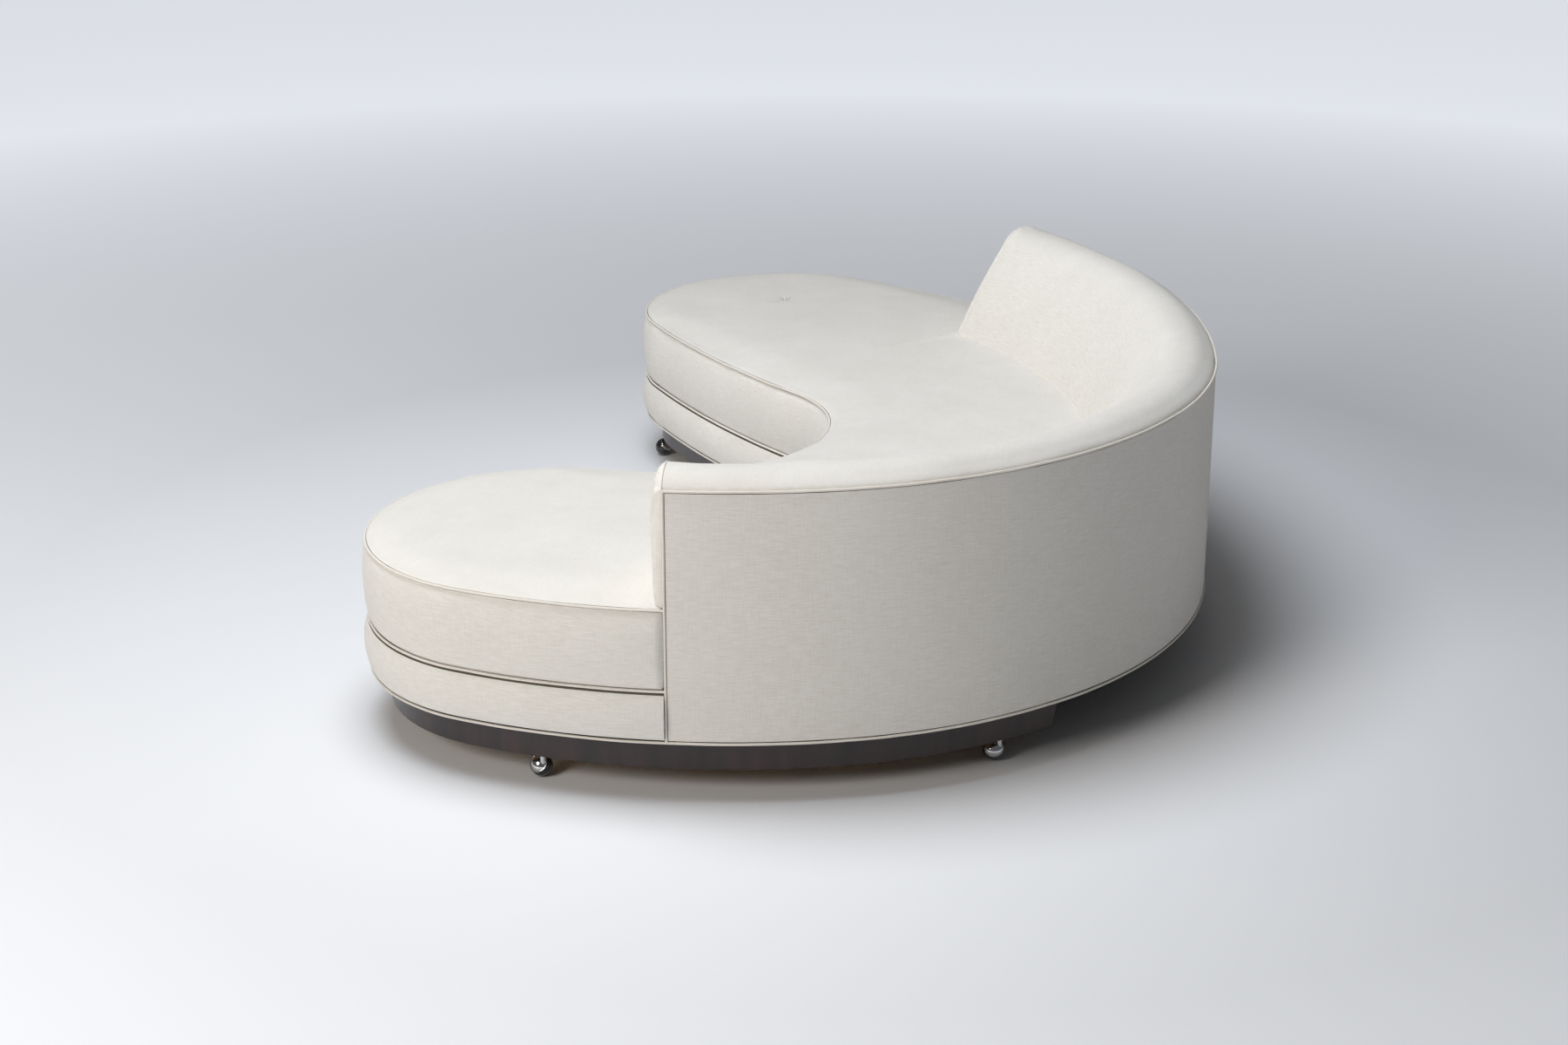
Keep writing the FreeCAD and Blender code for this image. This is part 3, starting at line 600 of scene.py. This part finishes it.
# %% Metal, wheel, lining and webbing finishes
def metal_finish(name, colour, rough, scratch):
    finish = Finish(name, Metallic=1.0)
    rubbed = finish.noise((180, 180, 180), detail=3.0)
    darker = [part * 0.9 for part in colour]
    finish.set("Base Color", finish.mix(rubbed, tone(*colour), tone(*darker)))
    finish.set("Roughness", rough + rubbed * scratch)
    return finish.material


def wheel_finish():
    finish = Finish("black_wheel", Coat_Weight=0.5, Coat_Roughness=0.08)
    dust = finish.ramp(finish.noise((60, 60, 60), detail=4.0), 0.45, 0.8)
    finish.set("Base Color", finish.mix(dust, tone(0.012, 0.012, 0.014), tone(0.05, 0.048, 0.045)))
    finish.set("Roughness", 0.16 + dust * 0.2)
    return finish.material


def woven_finish(name, pale, deep, threads):
    finish = Finish(name, Roughness=0.9)
    weft = finish.noise((12, threads, threads))
    warp = finish.noise((threads, 12, threads))
    share = finish.ramp(weft * 0.5 + warp * 0.5, 0.35, 0.65)
    finish.set("Base Color", finish.mix(share, pale, deep))
    finish.set("Normal", finish.bump(weft + warp, 0.3, 0.0006))
    return finish.material


CHROME = metal_finish("polished_chrome", (0.74, 0.75, 0.77), 0.05, 0.05)
STEEL = metal_finish("zinc_steel", (0.58, 0.58, 0.57), 0.32, 0.12)
WHEEL = wheel_finish()
LINING = woven_finish("black_lining", tone(0.018, 0.018, 0.020), tone(0.035, 0.035, 0.038), 500)
WEBBING = woven_finish("jute_webbing", tone(0.42, 0.31, 0.18), tone(0.27, 0.18, 0.09), 300)
FOAM = wood_finish("foam", tone(0.72, 0.66, 0.45), tone(0.62, 0.55, 0.34), (160, 160, 160), 0.75)

# %% Finishes on the solids that stay
SLOT_FINISH = {
    "fabric": CLOTH, "welt": PIPING, "foam": FOAM, "plywood": PLYWOOD, "timber": TIMBER,
    "veneer": VENEER, "webbing": WEBBING, "lining": LINING, "steel": STEEL, "chrome": CHROME,
    "wheel_black": WHEEL,
}


def wear(piece, finish):
    """Give a piece one finish."""
    piece.data.materials.clear()
    piece.data.materials.append(finish)


for subpart in frame["record"]["subparts"]:
    wear(frame["nodes"][subpart["node"]], SLOT_FINISH[subpart["material_slot"]])

# %% [markdown]
# ## Seat cushion
# One big cushion fills the whole outline. Its side is a boxed strip that bulges a little between
# two lines of piping, and its top is drawn down at the seam and crowned over a hand's breadth.
# The strip is an open section, carried right round, and the flat middle of the top is filled.

# %% Section of the seat
def eased(share):
    """From 0 to 1, steep at first and level at the end."""
    return 1 - (1 - share) ** 2


SEAT_BULGE = 0.009
CROWN_REACH = 0.110
SEAM_DEPTH = 0.011
SEAM_GAP = 0.0019
# how far the painted seam shade reaches about a groove's middle, and where that middle lies beside
# the cord
SEAM_SHADE_REACH = SEAM_GAP * 1.3
SEAM_MIDDLE = SEAM_GAP * 0.8
UNDERSIDE_INSET = 0.060
SIDE_SHARES = (0, 0.02, 0.055, 0.11, 0.19, 0.29, 0.4, 0.51, 0.62, 0.72, 0.81, 0.89, 0.945, 0.98, 1)
CROWN_SHARES = (0.015, 0.05, 0.11, 0.19, 0.29, 0.42, 0.58, 0.78, 1)
LEVEL_INSETS = (0.145, 0.185, 0.23, 0.28, 0.335, 0.395)


def seat_section():
    """From the underside up the boxed side, over the seam and the crown to the level top."""
    low = MID_WELT + WELT + SEAM_GAP
    high = SEAT_WELT - WELT - SEAM_GAP
    tall = high - low
    section = [(UNDERSIDE_INSET, DECK_TOP), (SEAM_DEPTH, DECK_TOP)]
    section.append((SEAM_DEPTH, low - SEAM_GAP * 0.3))
    for share in SIDE_SHARES:
        belly = (4 * share * (1 - share)) ** 0.6
        section.append((WELT * 0.7 - (SEAT_BULGE + WELT * 0.7) * belly, low + tall * share))
    section.append((SEAM_DEPTH, high + SEAM_GAP * 0.3))
    section.append((SEAM_DEPTH, SEAT_WELT))
    section.append((WELT * 1.1, SEAT_WELT + WELT * 0.85))
    rise = SEAT_CROWN - WELT * 1.2
    for share in CROWN_SHARES:
        inset = WELT * 1.2 + (CROWN_REACH - WELT) * share
        section.append((inset, SEAT_WELT + WELT * 1.2 + rise * eased(share)))
    for inset in LEVEL_INSETS:
        section.append((inset, SEAT_TOP))
    return section


# %% [markdown]
# Behind the back, the strip would show through the outer panel, so there it is drawn in under the
# padding. The same test of place tells which points lie behind the back at all.

# %% Drawing the seat in behind the back
HIDDEN_INSET = 0.056
EASE_LENGTH = 0.012


def behind_back(co):
    """Arc, turn and inset of a point, and how far it lies behind the back's end; None in front."""
    for bend in back_route(0):
        away = Vector((co.x, co.y, 0)) - bend.centre
        turn = turn_of(away)
        inset = bend.radius - away.length
        if bend.start <= turn <= bend.end and inset < 0.45:
            ends = (turn - NEAR_END if bend.centre == BACK_SIDE.centre else 90,
                    FAR_END - turn if bend.centre == BACK_FAR.centre else 90)
            return bend, turn, inset, math.radians(min(ends)) * bend.radius
    return None


def draw_in(piece):
    """Move points near the outline in under the back's padding."""
    for vertex in piece.data.vertices:
        found = behind_back(vertex.co)
        if found is None:
            continue
        bend, turn, inset, past = found
        if inset < HIDDEN_INSET:
            share = min(1, past / EASE_LENGTH)
            vertex.co = bend.point(turn, inset + (HIDDEN_INSET - inset) * share, vertex.co.z)


# %% Seat cushion
def fill_middle(piece, height):
    """Close the hole inside a ring of open points at one height."""
    pick(piece, lambda vertex: abs(vertex.co.z - height) < 0.0001 and open_points[vertex.index])
    bpy.ops.mesh.fill()


def paint_seam_shade(piece, heights, upright=False):
    """Painted shade: darker cloth deep beside a cord, on level faces there and, if asked, on
    upright ones.
    """
    piece.data.materials.append(PAINTED_SEAM_SHADE)
    for face in piece.data.polygons:
        for height in heights:
            near = abs(face.center.z - height) < SEAM_SHADE_REACH
            if near and (upright or abs(face.normal.z) > 0.5):
                face.material_index = 1


def find_open(piece):
    """Which points lie on an open edge."""
    uses = {}
    for face in piece.data.polygons:
        for key in face.edge_keys:
            uses[key] = uses.get(key, 0) + 1
    points = [False] * len(piece.data.vertices)
    for key, count in uses.items():
        if count == 1:
            points[key[0]] = True
            points[key[1]] = True
    return points


seat = sweep("seat_cushion", seat_section(), OUTLINE, ring=True, strip=True)
open_points = find_open(seat)
edit(seat)
fill_middle(seat, SEAT_TOP)
fill_middle(seat, DECK_TOP)
tidy_skin(seat)
draw_in(seat)


def seat_is_held(co):
    at_seam = abs(co.z - SEAT_WELT) < 0.0055 or co.z < MID_WELT + 0.007
    return at_seam or behind_back(co) is not None


def on_top(co):
    return co.z > SEAT_WELT + 0.006


def on_side(co):
    return MID_WELT + 0.012 < co.z < SEAT_WELT - 0.012


def on_crown(co):
    return SEAT_WELT + 0.005 < co.z < SEAT_TOP - 0.004


plump(seat, seat_is_held, pressure=2.5, cap=0.004)
unsettle(seat, 0.0035, 0.24, on_top)
unsettle(seat, 0.0012, 0.06, on_top)
unsettle(seat, 0.003, 0.16, on_side)
unsettle(seat, 0.0016, 0.045, on_crown)
wear(seat, CLOTH)
# painted shade in the grooves beside the seat's two lines of piping
paint_seam_shade(seat, [MID_WELT + WELT + SEAM_MIDDLE, SEAT_WELT - WELT - SEAM_MIDDLE])
place(seat, "fabric", "seat_cover", "seat_foam")


# %% [markdown]
# ## Border under the seat
# Below the seat a second, lower strip hides the frame. It is padded too, and it rolls out further
# than the seat does before it turns in to the piping at its foot.

# %% Deck border
BAND_BULGE = 0.013
BAND_BACKING = 0.0115
BAND_SHARES = (0, 0.02, 0.06, 0.12, 0.2, 0.3, 0.41, 0.53, 0.65, 0.76, 0.85, 0.92, 0.97, 1)


def border_section():
    low = FRAME_BOTTOM + WELT + SEAM_GAP
    high = DECK_TOP - SEAM_GAP
    tall = high - low
    section = [(BAND_BACKING, low - SEAM_GAP * 0.4)]
    for share in BAND_SHARES:
        belly = (4 * share * (1 - share)) ** 0.6 * (1.06 - 0.14 * share)
        section.append((WELT * 0.6 - (BAND_BULGE + WELT * 0.6) * min(1, belly), low + tall * share))
    section.append((BAND_BACKING, high + SEAM_GAP * 0.4))
    return section


border = sweep("deck_border", border_section(), front_route(WELT + SEAM_GAP / 2))


def border_is_held(co):
    at_seam = co.z > DECK_TOP - 0.007 or co.z < FRAME_BOTTOM + 0.009
    return at_seam or behind_back(co) is not None


def on_border(co):
    return FRAME_BOTTOM + 0.012 < co.z < DECK_TOP - 0.012


plump(border, border_is_held, pressure=2.0, cap=0.003)
unsettle(border, 0.003, 0.14, on_border)
wear(border, CLOTH)
# painted shade in the grooves beside the border's piping
paint_seam_shade(border, [FRAME_BOTTOM + WELT + SEAM_MIDDLE, DECK_TOP - SEAM_MIDDLE])
place(border, "fabric", "deck_band")

# %% [markdown]
# ## Back padding
# The back leans: its face slopes from a narrow shoulder down to a wide foot on the seat, and its
# top is a soft dome that meets the outer panel at a line of piping. The section is two arcs and a
# slope, closed inside round the posts.

# %% Section of the back
SHOULDER_DEPTH = 0.148
SHOULDER = BACK_WELT - 0.010
BASE_DEPTH = 0.300
POST_IN = 0.0525
RAKE = (BASE_DEPTH - SHOULDER_DEPTH) / (SHOULDER - SEAT_TOP)
FACE_BULGE = 0.007


def arc_through(first, middle, last, count):
    """Points along the arc through three, without the first of them."""
    (ax, ay), (bx, by), (cx, cy) = first, middle, last
    spread = 2 * (ax * (by - cy) + bx * (cy - ay) + cx * (ay - by))
    a2 = ax * ax + ay * ay
    b2 = bx * bx + by * by
    c2 = cx * cx + cy * cy
    ox = (a2 * (by - cy) + b2 * (cy - ay) + c2 * (ay - by)) / spread
    oy = (a2 * (cx - bx) + b2 * (ax - cx) + c2 * (bx - ax)) / spread
    radius = math.hypot(ax - ox, ay - oy)
    start = math.atan2(ay - oy, ax - ox)
    swing = (math.atan2(cy - oy, cx - ox) - start + math.pi) % (2 * math.pi) - math.pi
    turns = [start + swing * index / count for index in range(1, count + 1)]
    return [(ox + radius * math.cos(turn), oy + radius * math.sin(turn)) for turn in turns]


def back_profile():
    """Dome and face of the back, from its rear seam to its foot on the seat."""
    brow = (WELT, BACK_WELT)
    crest = (SHOULDER_DEPTH / 2, BACK_TOP)
    rear = (crest[0] * 0.42, BACK_WELT + BACK_DOME * 0.74)
    front = (SHOULDER_DEPTH * 0.8, BACK_WELT + BACK_DOME * 0.66)
    shoulder = (SHOULDER_DEPTH, SHOULDER)
    foot = (BASE_DEPTH + RAKE * (SEAT_TOP - BACK_FOOT), BACK_FOOT)
    profile = [brow] + arc_through(brow, rear, crest, 7) + arc_through(crest, front, shoulder, 7)
    steps = 16
    for index in range(1, steps + 1):
        share = index / steps
        puff = FACE_BULGE * math.sin(math.pi * share)
        inset = shoulder[0] + (foot[0] - shoulder[0]) * share + puff
        profile.append((inset, shoulder[1] + (foot[1] - shoulder[1]) * share + puff * 0.5))
    return profile


# %% Back padding
inside = [(POST_IN, BACK_FOOT), (POST_IN, BOARD_TOP), (WELT, BOARD_TOP)]
back = sweep("back_padding", back_profile() + inside, back_route(0))


def back_is_held(co):
    found = behind_back(co)
    if found is None:
        return True
    inset, past = found[2:]
    at_rear = inset < POST_IN + 0.001 and co.z < BACK_WELT + 0.012
    return co.z < BACK_FOOT + 0.02 or at_rear or past < 0.01


plump(back, back_is_held, pressure=2.5, cap=0.004)
unsettle(back, 0.004, 0.22, lambda co: co.z > BACK_WELT + 0.008 or not back_is_held(co))
wear(back, CLOTH)
place(back, "fabric", "back_inner_cover", "back_foam")

# %% [markdown]
# ## Outer panel of the back
# The rear is one long sheet of cloth, drawn tight over the board between the piping along its top,
# its foot and its two ends. It has hardly any depth, only a slight fullness and unevenness.

# %% Outer panel
PANEL_FULLNESS = 0.0016
PANEL_THICK = 0.0028
PANEL_EDGE = 0.0009


def panel_section():
    low = FRAME_BOTTOM + WELT + SEAM_GAP
    high = BACK_WELT - WELT - SEAM_GAP
    section = [(PANEL_THICK, low - SEAM_GAP)]
    steps = 30
    for index in range(steps + 1):
        share = index / steps
        fullness = PANEL_FULLNESS * (4 * share * (1 - share)) ** 0.4
        section.append((PANEL_EDGE - fullness, low + (high - low) * share))
    section.append((PANEL_THICK, high + SEAM_GAP))
    return section


panel = sweep("back_outer_cloth", panel_section(), back_route(-WELT - SEAM_GAP / 2))
unsettle(panel, 0.0012, 0.30)
wear(panel, CLOTH)
# painted shade in the grooves over the bottom piping and under the top piping, on upright faces too
panel_painted_shade_heights = [FRAME_BOTTOM + WELT + SEAM_GAP / 2, BACK_WELT - WELT - SEAM_GAP / 2]
paint_seam_shade(panel, panel_painted_shade_heights, upright=True)
place(panel, "fabric", "back_outer_panel")

# %% [markdown]
# ## Piping
# Every seam has a cord covered with the same cloth sewn into it. It is a thin tube along the seam,
# and a sewn cord is never quite straight, so it wanders by a fraction of a millimetre.

# %% Piping along the seams
CORD_SIDES = 12
CORD_STITCH = 0.009
CORD_WANDER = 0.0007
WANDER_PATCH = 0.09


def cord_section(height):
    turns = [2 * math.pi * index / CORD_SIDES for index in range(CORD_SIDES)]
    return [(WELT * math.cos(turn), height + WELT * math.sin(turn)) for turn in turns]


def wander(cord):
    """Shift points by noise in each direction, the same for both sides of the cord."""
    for vertex in cord.data.vertices:
        vertex.co += noise.noise_vector(vertex.co / WANDER_PATCH) * CORD_WANDER


def piping(name, height, route, ring, nodes):
    cord = sweep(name, cord_section(height), route, ring=ring, stitch=CORD_STITCH)
    wander(cord)
    wear(cord, PIPING)
    place(cord, "welt", *nodes)


piping("seat_top_piping", SEAT_WELT, front_route(0), False, ["seat_top_welt"])
piping("seat_mid_piping", MID_WELT, front_route(0), False, ["seat_mid_welt"])
piping("bottom_piping", FRAME_BOTTOM, OUTLINE, True, ["bottom_welt"])
piping("back_top_piping", BACK_WELT, back_route(0), False, ["back_top_welt"])


# %% [markdown]
# ## Upright piping at the ends of the back
# A cord climbs each end of the back from the bottom seam to the top corner. A circle is extruded
# upwards a little at a time, so that it can wander like the others, and closed by a small dome.

# %% Upright piping
# how far each step of the closing dome rises, as a share of the radius, and how much it shrinks
CORD_DOME = ((0.5, 0.86), (0.37, 0.58), (0.13, 0.1))


def upright_cord(name, bend, turn):
    low = FRAME_BOTTOM + WELT * 0.5
    tall = BACK_WELT - low
    steps = round(tall / CORD_STITCH)
    foot = bend.point(turn, 0, low)
    bpy.ops.mesh.primitive_circle_add(
        vertices=CORD_SIDES, radius=WELT, location=foot, fill_type="NGON")
    cord = bpy.context.object
    cord.name = name
    bpy.ops.object.transform_apply(location=True)
    edit(cord)
    bpy.ops.mesh.select_all(action="SELECT")
    for _ in range(steps):
        bpy.ops.mesh.extrude_region_move(TRANSFORM_OT_translate={"value": (0, 0, tall / steps)})
    for rise, shrink in CORD_DOME:
        bpy.ops.mesh.extrude_region_move(TRANSFORM_OT_translate={"value": (0, 0, WELT * rise)})
        bpy.ops.transform.resize(value=(shrink, shrink, 1))
    tidy_skin(cord)
    wander(cord)
    wear(cord, PIPING)
    place(cord, "welt", "back_end_welts")


upright_cord("near_upright_piping", BACK_SIDE, NEAR_END)
upright_cord("far_upright_piping", BACK_FAR, FAR_END)

# %% [markdown]
# ## Cord round the near end pad
# At the near top corner a third, thinner cord branches off and runs over the dome and down the
# face, in the seam between the end pad and the back. It is a curve through the section's points
# with a round bevel, turned into a mesh.

# %% Third leg of the corner
CAP_CORD_RADIUS = 0.0022
CAP_CORD_OUT = 0.0035

profile_cord = bpy.data.curves.new("near_cap_piping", "CURVE")
profile_cord.dimensions = "3D"
profile_cord.bevel_depth = CAP_CORD_RADIUS
profile_cord.bevel_resolution = 3
leg = profile_cord.splines.new("NURBS")
leg_points = back_profile()
leg.points.add(len(leg_points) - 1)
outward = -UP.cross(unit(NEAR_END))
for point, (inset, height) in zip(leg.points, leg_points):
    point.co = (*(BACK_SIDE.point(NEAR_END, inset, height) + outward * CAP_CORD_OUT), 1)
leg.use_endpoint_u = True
leg.order_u = 3
cap_cord = bpy.data.objects.new("near_cap_piping", profile_cord)
bpy.context.scene.collection.objects.link(cap_cord)
choose(cap_cord)
bpy.ops.object.convert(target="MESH")
edit(cap_cord)
tidy_skin(cap_cord)
wear(cap_cord, PIPING)
place(cap_cord, "welt")
print("corner cord:", len(cap_cord.data.vertices), "points")

# %% [markdown]
# ## Padded ends of the back
# Each end of the back is closed by a small pad, cut to the back's section and sewn round its edge.
# Its outline starts as a circle moved onto that section; it is filled, then extruded outwards and
# shrunk step by step into a pillow, remeshed evenly, and blown up with its rear held.

# %% End pads
PAD_OUT = 0.026
PAD_MIDDLE = (0.125, 0.60)
# how far out each step of the pillow stands, as a share of the whole, and how large it is
PAD_STEPS = ((0.16, 1.0), (0.36, 0.992), (0.58, 0.975), (0.77, 0.945), (0.91, 0.89), (0.98, 0.80),
             (1.02, 0.62), (1.03, 0.40), (1.03, 0.20))
PAD_VOXEL = 0.006


def end_pad(name, bend, turn, along):
    """A pillow on the end of the back, pushed out step by step from the back's own section."""
    outline = back_profile()
    outline += [(inset, BACK_FOOT) for inset in (0.24, 0.16, 0.08, WELT)]
    outline += [(WELT, BACK_FOOT + (BACK_WELT - BACK_FOOT) * index / 12) for index in range(1, 12)]
    bpy.ops.mesh.primitive_circle_add(vertices=len(outline))
    pad = bpy.context.object
    pad.name = name
    for vertex, (inset, height) in zip(pad.data.vertices, outline):
        vertex.co = bend.point(turn, inset, height)
    middle = bend.point(turn, *PAD_MIDDLE)
    edit(pad)
    bpy.ops.mesh.select_all(action="SELECT")
    out = 0
    before = 1
    for share, scale in PAD_STEPS:
        push = along * (PAD_OUT * (share - out))
        bpy.ops.mesh.extrude_region_move(TRANSFORM_OT_translate={"value": push})
        shrink = scale / before
        centre = middle + along * PAD_OUT * share
        bpy.ops.transform.resize(value=(shrink, shrink, shrink), center_override=centre)
        out, before = share, scale
    bpy.ops.mesh.edge_face_add()
    pick(pad, lambda vertex: vertex.index < len(outline))
    bpy.ops.mesh.edge_face_add()
    tidy_skin(pad)
    return pad


def round_pad(pad, bend, turn, along):
    """Remesh, inflate and smooth an end pad."""
    choose(pad)
    even = pad.modifiers.new("even", "REMESH")
    even.mode = "VOXEL"
    even.voxel_size = PAD_VOXEL
    bpy.ops.object.modifier_apply(modifier="even")
    base = bend.point(turn, 0, 0)

    def held(co):
        return (co - base).dot(along) < 0.006 or co.z < BACK_FOOT + 0.008

    plump(pad, held, pressure=4.0, cap=0.007)
    refine(pad)
    bpy.ops.object.shade_smooth()
    out = max((vertex.co - base).dot(along) for vertex in pad.data.vertices)
    print(pad.name, "stands out by", round(out * 1000, 1), "mm")


ENDS = (
    ("near_end_cushion", "near_end_pad", BACK_SIDE, NEAR_END, -1),
    ("far_end_cushion", "far_end_pad", BACK_FAR, FAR_END, 1),
)
for name, node, bend, turn, outward in ENDS:
    along = UP.cross(unit(turn)) * outward
    pad = end_pad(name, bend, turn, along)
    round_pad(pad, bend, turn, along)
    wear(pad, CLOTH)
    place(pad, "fabric", node)

# %% [markdown]
# ## Floor, light and camera
# A plain pale floor runs far past the picture's edge, and glows faintly far off so that it stays
# pale there. A dim room light is joined by two large soft lamps, one overhead and one beside the
# back, so tops are brightest, sides a little greyer and the floor under the sofa dark.

# %% Floor
bpy.ops.mesh.primitive_plane_add(size=80, location=(0, 0, 0))
floor = bpy.context.object
floor.name = "floor"
ground = Finish("pale_floor", Roughness=0.6, Specular_IOR_Level=0.3)
patch = ground.noise((0.8, 0.8, 0.8), detail=3.0)
ground.set("Base Color", ground.mix(patch, tone(0.87, 0.88, 0.90), tone(0.90, 0.91, 0.93)))
from_middle = {0: ground.place()}
distance = ground.add("ShaderNodeVectorMath", {"operation": "LENGTH"}, from_middle, out="Value")
far_off = ground.ramp(distance, 2.2, 7.0)
ground.set("Emission Color", ground.mix(far_off, tone(0, 0, 0), tone(0.60, 0.62, 0.67)))
ground.set("Emission Strength", 1.0)
wear(floor, ground.material)

# %% Light
ROOM_LEVEL = 0.10
SEEN_LEVEL = 0.93


def soft_lamp(name, spot, aimed_at, size, power, colour):
    """A round lamp that faces a point."""
    turn = (Vector(aimed_at) - Vector(spot)).to_track_quat("-Z", "Y").to_euler()
    bpy.ops.object.light_add(type="AREA", location=spot, rotation=turn)
    lamp = bpy.context.object
    lamp.name = name
    lamp.data.shape = "DISK"
    lamp.data.size = size
    lamp.data.energy = power
    lamp.data.color = colour


soft_lamp("overhead", (1.0, -1.0, 4.8), (0.0, 0.0, 0.4), 3.0, 178, (0.91, 0.95, 1.0))
soft_lamp("side", (5.6, -2.6, 3.2), (0.3, 0.0, 0.3), 2.6, 146, (1.0, 0.94, 0.87))
world = bpy.data.worlds.new("studio")
world.use_nodes = True
bpy.context.scene.world = world
backdrop = world.node_tree.nodes["Background"]
backdrop.inputs["Color"].default_value = (0.985, 0.985, 1.0, 1)
backdrop.inputs["Strength"].default_value = ROOM_LEVEL
seen = world.node_tree.nodes.new("ShaderNodeLightPath")
level = world.node_tree.nodes.new("ShaderNodeMapRange")
level.inputs["To Min"].default_value = ROOM_LEVEL
level.inputs["To Max"].default_value = SEEN_LEVEL
world.node_tree.links.new(seen.outputs["Is Camera Ray"], level.inputs["Value"])
world.node_tree.links.new(level.outputs["Result"], backdrop.inputs["Strength"])

# %% Camera
CAMERA_PLACE = Vector((6.2334, 1.575, 2.4805))
CAMERA_HEADING = Vector((-0.9613, -0.2756, 0))
CAMERA_PITCH = math.radians(19.807)
LENS = 60
SENSOR = 36
aim = CAMERA_HEADING * math.cos(CAMERA_PITCH) - UP * math.sin(CAMERA_PITCH)
bpy.ops.object.camera_add(location=CAMERA_PLACE, rotation=aim.to_track_quat("-Z", "Y").to_euler())
camera = bpy.context.object
camera.data.lens = LENS
camera.data.sensor_width = SENSOR
camera.data.sensor_fit = "HORIZONTAL"
bpy.context.scene.camera = camera
bpy.context.scene.view_settings.view_transform = "Standard"
